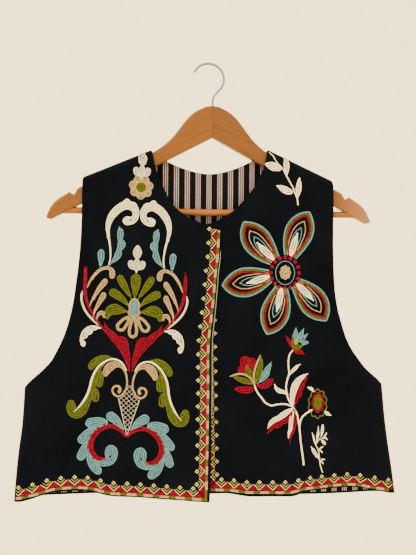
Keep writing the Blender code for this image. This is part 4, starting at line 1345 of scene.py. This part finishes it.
# Set back: how far in from the cloth's edge the band's outer line runs.
RIGHT_SET_BACK = ((0.0030, -0.6025), (0.0030, -0.4200), (0.0018, -0.3400), (0.0009, -0.2295))
RIGHT_HEM_BACK = (
    (-0.2626, 0.0028), (-0.2440, 0.0028), (-0.2280, 0.0018), (-0.1500, 0.0018), (-0.0900, 0.0014),
    (-0.0500, 0.0015), (0.0011, 0.0014),
)
RIGHT_CORNER = (RIGHT_EDGE[0][0] - RIGHT_SET_BACK[0][0], -0.6011)
right_marks = marks((-1, 0, 10, 19, 21), (-0.5963, -0.5777, -0.4005, -0.2290, -0.1905))
right_hem_marks = marks((-1, 0, 6, 9, 13, 14), (-0.0032, -0.0212, -0.1285, -0.1811, -0.2557, -0.2745))
lay_border(-1, RIGHT_EDGE, RIGHT_NECK, RIGHT_HEM, RIGHT_SET_BACK, RIGHT_HEM_BACK, right_marks,
           right_hem_marks, RIGHT_CORNER, ((6.7, 20.7), (-0.5, 21.9)))
LEFT_SET_BACK = ((0.0032, -0.5885), (0.0026, -0.5650), (-0.0016, -0.3720), (-0.0050, -0.2225))
LEFT_HEM_BACK = (
    (-0.0060, 0.0009), (0.0018, 0.0010), (0.0312, 0.0026), (0.0620, 0.0036), (0.1078, 0.0032),
    (0.1200, 0.0040), (0.1377, 0.0016), (0.2300, 0.0013), (0.2688, 0.0020),
)
LEFT_CORNER = (-0.0033, -0.5865)
left_marks = marks((-1, 0, 7, 11, 12, 21), (-0.6020, -0.5841, -0.4577, -0.3907, -0.3721, -0.2110))
left_hem_marks = marks((-1, 0, 6, 8, 11, 13, 14), (0.0, 0.0178, 0.1242, 0.1585, 0.2159, 0.2576, 0.2790))
lay_border(1, LEFT_EDGE, LEFT_NECK, LEFT_HEM, LEFT_SET_BACK, LEFT_HEM_BACK, left_marks,
           left_hem_marks, LEFT_CORNER, ((6.7, 20.7), (3.7, 20.9)))
print({side: len(rows) for side, rows in stitch_rows.items()}, "rows in all")

# %% [markdown]
# ## From rows to single stitches
# A chain stitch is a small loop of yarn that holds the next one. Each row is divided into
# stitches of equal length, 3 mm or so, and the place, the direction and the size of each
# are kept as one point. Where rows meet in the tip of a leaf a maker leaves stitches out,
# and so does this: a stitch too near an earlier one on the same front is dropped.

# %% Divide the rows
STITCH = 3.1
FIXED_SHARE = 0.45
SIZED_SHARE = 0.55
LOOK_ASIDE = 0.12
CELL = 0.0015
ROOM = 0.00125
stitches = {}
taken = {}


def crowded(side, spot, reach):
    """True if a stitch is already closer than reach; else this one is noted."""
    cell = (side, round(spot[0] / CELL), round(spot[1] / CELL))
    for du in (-1, 0, 1):
        for dv in (-1, 0, 1):
            for x, z, other in taken.get((cell[0], cell[1] + du, cell[2] + dv), ()):
                if math.hypot(x - spot[0], z - spot[1]) < min(reach, other):
                    return True
    taken.setdefault(cell, []).append((spot[0], spot[1], reach))
    return False


for side, rows in stitch_rows.items():
    for thread, line, sizes in rows:
        far = distances(line) * 1000
        usual = STITCH * (FIXED_SHARE + SIZED_SHARE * min(float(np.mean(sizes)), 1.0))
        count = max(1, round(far[-1] / usual))
        share = (np.arange(count) + 0.5) / count
        ahead = along(line, np.minimum(share + LOOK_ASIDE / count, 1))
        way = ahead - along(line, np.maximum(share - LOOK_ASIDE / count, 0))
        each = np.interp(share * far[-1], far, sizes)
        for spot, direction, size in zip(along(line, share), way, each):
            if np.linalg.norm(direction) > 0 and not crowded(side, spot, ROOM * size):
                stitches.setdefault((side, thread), []).append((spot, direction, far[-1] / count, size))
print(sum(len(s) for s in stitches.values()), "stitches")

# %% [markdown]
# ## A loop of yarn, repeated by Geometry Nodes
# The loop is made once inside a node tree: a circle is pulled into a drop, and a thin
# round section is swept along it. The tree puts that loop on every point, turned to the
# point's own direction and scaled to its size. The inputs are named for the yarn's own
# measures, so a thicker yarn is one number away. A loop has only a few dozen faces, since
# there are thousands of them.

# %% The stitch tree
MEASURES = {"Loop length": 0.0036, "Loop width": 0.00128, "Yarn": 0.00098}
TAPER = 0.35
LIFT = 0.30


def stitch_tree():
    """Puts a drop-shaped loop of yarn on every point of a mesh."""
    tree = bpy.data.node_groups.new("chain_stitches", "GeometryNodeTree")
    new_socket = tree.interface.new_socket
    new_socket("Geometry", in_out="INPUT", socket_type="NodeSocketGeometry")
    for name, value in MEASURES.items():
        new_socket(name, in_out="INPUT", socket_type="NodeSocketFloat").default_value = value
    new_socket("Thread", in_out="INPUT", socket_type="NodeSocketMaterial")
    new_socket("Geometry", in_out="OUTPUT", socket_type="NodeSocketGeometry")
    given = node(tree, "NodeGroupInput").outputs
    circle = node(tree, "GeometryNodeCurvePrimitiveCircle", Resolution=8, Radius=1.0)
    split = node(tree, "SeparateXYZ", node(tree, "GeometryNodeInputPosition"))
    long_half, wide_half, yarn_half = (node(tree, "Math", given[name], 0.5, operation="MULTIPLY")
                                       for name in MEASURES)
    taper = node(tree, "Math", split, -TAPER, 1.0, operation="MULTIPLY_ADD")
    y_round = node(tree, "Math", split.outputs[1], wide_half, operation="MULTIPLY")
    sides = ((split, long_half), (y_round, taper), (given["Yarn"], LIFT))
    drop = node(tree, "CombineXYZ", *(node(tree, "Math", *both, operation="MULTIPLY") for both in sides))
    shaped = node(tree, "GeometryNodeSetPosition", circle, Position=drop)
    section = node(tree, "GeometryNodeCurvePrimitiveCircle", Resolution=4, Radius=yarn_half)
    loop = node(tree, "GeometryNodeCurveToMesh", shaped, section)
    smoothed = node(tree, "GeometryNodeSetShadeSmooth", loop)
    way, out, size = (node(tree, "GeometryNodeInputNamedAttribute", data_type="FLOAT_VECTOR", Name=name)
                      for name in ("along", "out", "size"))
    faced = node(tree, "FunctionNodeAlignRotationToVector", axis="Z", Vector=out)
    turned = node(tree, "FunctionNodeAlignRotationToVector", faced, axis="X", pivot_axis="Z", Vector=way)
    copies = node(tree, "GeometryNodeInstanceOnPoints", given["Geometry"], Instance=smoothed,
                  Rotation=turned, Scale=size)
    real = node(tree, "GeometryNodeRealizeInstances", copies)
    dyed = node(tree, "GeometryNodeSetMaterial", real, Material=given["Thread"])
    node(tree, "NodeGroupOutput", dyed)
    return tree


chain = stitch_tree()
sockets = {item.name: item.identifier for item in chain.interface.items_tree if item.in_out == "INPUT"}
print("inputs:", ", ".join(sockets))

# %% [markdown]
# ## Embroidery cotton in nine colours
# Embroidery cotton is soft and twisted: it scatters light, has a slight sheen, and no two
# stitches take the dye quite alike. Noise at the size of a stitch varies the tone, and a
# fine slanting wave gives the twist of the yarn.

# %% The yarns
# Each yarn: its colour slot, its light tone and its dark tone.
THREADS = {
    "cream": ("cream_thread", "#fffbe6", "#eae2c8"),
    "ecru": ("cream_thread", "#e2d4b0", "#bfaa80"),
    # Fawn is the band's own pale blocks; on the left front's edge it also darkens the ecru diamonds as
    # painted shade.
    "fawn": ("tan_thread", "#c2b28e", "#9c8a66"),
    "grey_white": ("grey_white_thread", "#e8e4da", "#c2bcae"),
    "tan": ("tan_thread", "#bba67e", "#937a54"),
    "olive": ("olive_thread", "#606c28", "#404b13"),
    "moss": ("olive_thread", "#9aaa44", "#748428"),
    "blue": ("blue_thread", "#699dba", "#467892"),
    "red": ("red_thread", "#8e002e", "#5a001a"),
}


def embroidery_cotton(name, light, dark):
    """Cotton yarn, dyed and twisted: soft, with a sheen of loose fibres."""
    made, tree, shader = finish(name + "_twisted_cotton", Roughness=0.8, Sheen_Weight=0.10,
                                Sheen_Roughness=0.4, Sheen_Tint=colour(light), Specular_IOR_Level=0.12)
    place = node(tree, "TexCoord").outputs["Object"]
    tone = node(tree, "TexNoise", place, Scale=420.0, Detail=3.0, Roughness=0.65)
    twist = node(tree, "TexWave", place, wave_type="BANDS", bands_direction="DIAGONAL", Scale=520.0,
                 Distortion=3.0, Detail=1.0)
    fill(shader, Base_Color=node(tree, "ValToRGB", tone, stops=((0.30, dark), (0.62, light))),
         Normal=node(tree, "Bump", Strength=0.5, Distance=0.0002, Height=twist.outputs["Fac"]))
    return made


cottons = {key: embroidery_cotton(key, light, dark) for key, (_, light, dark) in THREADS.items()}
print("yarns:", ", ".join(cottons))

# %% [markdown]
# ## Work the stitches
# For each front and each yarn, the points carry their directions and sizes as named
# attributes. The modifier's inputs are set by their identifiers before the object is
# evaluated. The result is taken as a plain mesh and the modifier goes away.

# %% Stitch both fronts
FRONT_NAMES = {-1: "front_right", 1: "front_left"}
SHORT_STEP = 0.0006
LOOP_MM = MEASURES["Loop length"] * 1000
# Each loop reaches on into the next one by this share of its stitch.
LOOP_REACH = 1.22


def stitched(side, key, items):
    """One front's stitches in one yarn, as a plain mesh."""
    flat, way, long, size = (np.array(column) for column in zip(*items))
    points, normal = on_cloth(flat, side)
    ahead, _ = on_cloth(flat + SHORT_STEP * way / np.linalg.norm(way, axis=1, keepdims=True), side)
    mesh = bpy.data.meshes.new("points")
    mesh.from_pydata(points.tolist(), [], [])
    for name, values in (("along", unit(ahead - points)), ("out", normal),
                         ("size", np.stack([long * LOOP_REACH / LOOP_MM, size, size], 1))):
        layer = mesh.attributes.new(name, "FLOAT_VECTOR", "POINT")
        layer.data.foreach_set("vector", values.astype(np.float32).ravel())
    holder = added("points", mesh)
    modifier = holder.modifiers.new("chain", "NODES")
    modifier.node_group = chain
    for name, value in (*MEASURES.items(), ("Thread", cottons[key])):
        modifier[sockets[name]] = value
    plain = bpy.data.meshes.new_from_object(holder.evaluated_get(bpy.context.evaluated_depsgraph_get()))
    plain.name = f"{FRONT_NAMES[side]}_{key}_stitches"
    bpy.data.objects.remove(holder)
    return added(plain.name, plain)


embroidery = []
for (side, key), items in sorted(stitches.items()):
    made = stitched(side, key, items)
    embroidery.append((made, THREADS[key][0]))
    triangles = sum(len(face.vertices) - 2 for face in made.data.polygons)
    print(made.name, len(items), "stitches,", triangles, "triangles")

# %% [markdown]
# ## Varnished beech
# The hanger's arms are sawn from beech: an orange-brown wood with long, faint grain and
# short dark flecks. The grain runs along each arm, so the pattern is turned by the arm's
# own slope. A thin varnish gives it a low gloss, and has worn paler at one tip.

# %% The wood
GRAIN = (6.0, 60.0, 90.0)
FLECKS = (60.0, 500.0, 900.0)
WORN_FROM_X = 0.175
WORN_FULL_X = 0.235


def beech(name, light, dark, slope, gloss, worn=0.0):
    """Beech under a thin varnish: a low gloss over soft bands and short flecks."""
    made, tree, shader = finish(name, Roughness=gloss, Coat_Weight=0.08, Coat_Roughness=0.3,
                                Specular_IOR_Level=0.25)
    place = node(tree, "TexCoord").outputs["Object"]
    turned = node(tree, "Mapping", place, Rotation=(0.0, slope, 0.0))
    bands = node(tree, "TexNoise", node(tree, "Mapping", turned, Scale=GRAIN), Scale=3.0, Detail=6.0,
                 Roughness=0.6, Distortion=0.8)
    flecks = node(tree, "TexNoise", node(tree, "Mapping", turned, Scale=FLECKS), Scale=2.0, Detail=2.0)
    mixed = node(tree, "Math", flecks, 0.35, bands, operation="MULTIPLY_ADD")
    grain = node(tree, "ValToRGB", mixed, stops=((0.42, dark), (0.90, light)))
    tip = node(tree, "MapRange", node(tree, "SeparateXYZ", place), WORN_FROM_X, WORN_FULL_X, 0.0, worn)
    faded = node(tree, "Mix", tip, data_type="RGBA", A_Color=grain, B_Color=colour("#a4785c"))
    fill(shader, Base_Color=faded.outputs[2],
         Normal=node(tree, "Bump", Strength=0.12, Distance=0.0002, Height=flecks))
    return made


arm_slope = math.atan(0.5307)
right_wood = beech("varnished_beech_right_arm", "#70410a", "#583105", arm_slope, 0.42)
# The left arm's tones are a little darker than the right arm's: painted shade, for the side away from the
# light.
left_wood = beech("varnished_beech_left_arm", "#6b3e0c", "#532e05", -arm_slope, 0.42, 0.6)
bar_wood = beech("varnished_beech_bar", "#88562a", "#704216", 0.0, 0.45)
print("arms slope", round(math.degrees(arm_slope), 1), "degrees")

# %% [markdown]
# ## Steel wire
# The hook is plain drawn wire with a bright finish that has dulled a little. Its
# roughness and its colour vary in small patches, where hands and rails rub it.

# %% The wire
# Drawn steel: a metal, brighter where it is rubbed and duller in between.
steel, tree, shader = finish("drawn_steel_wire", Metallic=1.0)
rub = node(tree, "TexNoise", node(tree, "TexCoord").outputs["Object"], Scale=350.0, Detail=3.0)
fill(shader, Roughness=node(tree, "MapRange", rub, 0.3, 0.7, 0.22, 0.42),
     Base_Color=node(tree, "ValToRGB", rub, stops=((0.0, "#5a5f7a"), (1.0, "#8a90b2"))))
for name, material in (("hanger_arm_right", right_wood), ("hanger_arm_left", left_wood),
                       ("hanger_bar", bar_wood), ("hanger_hook", steel)):
    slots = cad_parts[name].data.materials
    slots.clear()
    slots.append(material)
print("wood and wire on the hanger")

# %% [markdown]
# ## The pieces on one body
# The cloth pieces replace their plain solids and every piece moves with the one body.
# The size each cloth piece was cut to is printed.

ARMS = ["hanger_arm_right", "hanger_arm_left"]
SHEETS = (
    (right_shell, "front_right", right_cut, ARMS[:1]),
    (left_shell, "front_left", left_cut, ARMS[1:]),
    (back_shell, "back", whole_back, ARMS),
    (right_inside, "front_right_lining", right_cut[:, LINING_COLUMNS:], ["front_right_cloth"]),
    (left_inside, "front_left_lining", left_cut[:, LINING_COLUMNS:], ["front_left_cloth"]),
    (back_inside, "back_lining", whole_back[:, LINING_COLUMNS:-LINING_COLUMNS], ["back_cloth"]),
)
for piece, name, cut, rests in SHEETS:
    size = cut.reshape(-1, 2).max(0) - cut.reshape(-1, 2).min(0)
    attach(piece, "root")
    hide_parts(name)
    mm = [round(float(v) * 1000) for v in size]
    print(piece.name, "cut", mm, "mm,", round(flat_area(cut) * 1e4), "cm2")
for piece, slot in embroidery:
    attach(piece, "root")

# %% [markdown]
# ## Finish
# The script ends here.

# %% Finish
print("done")
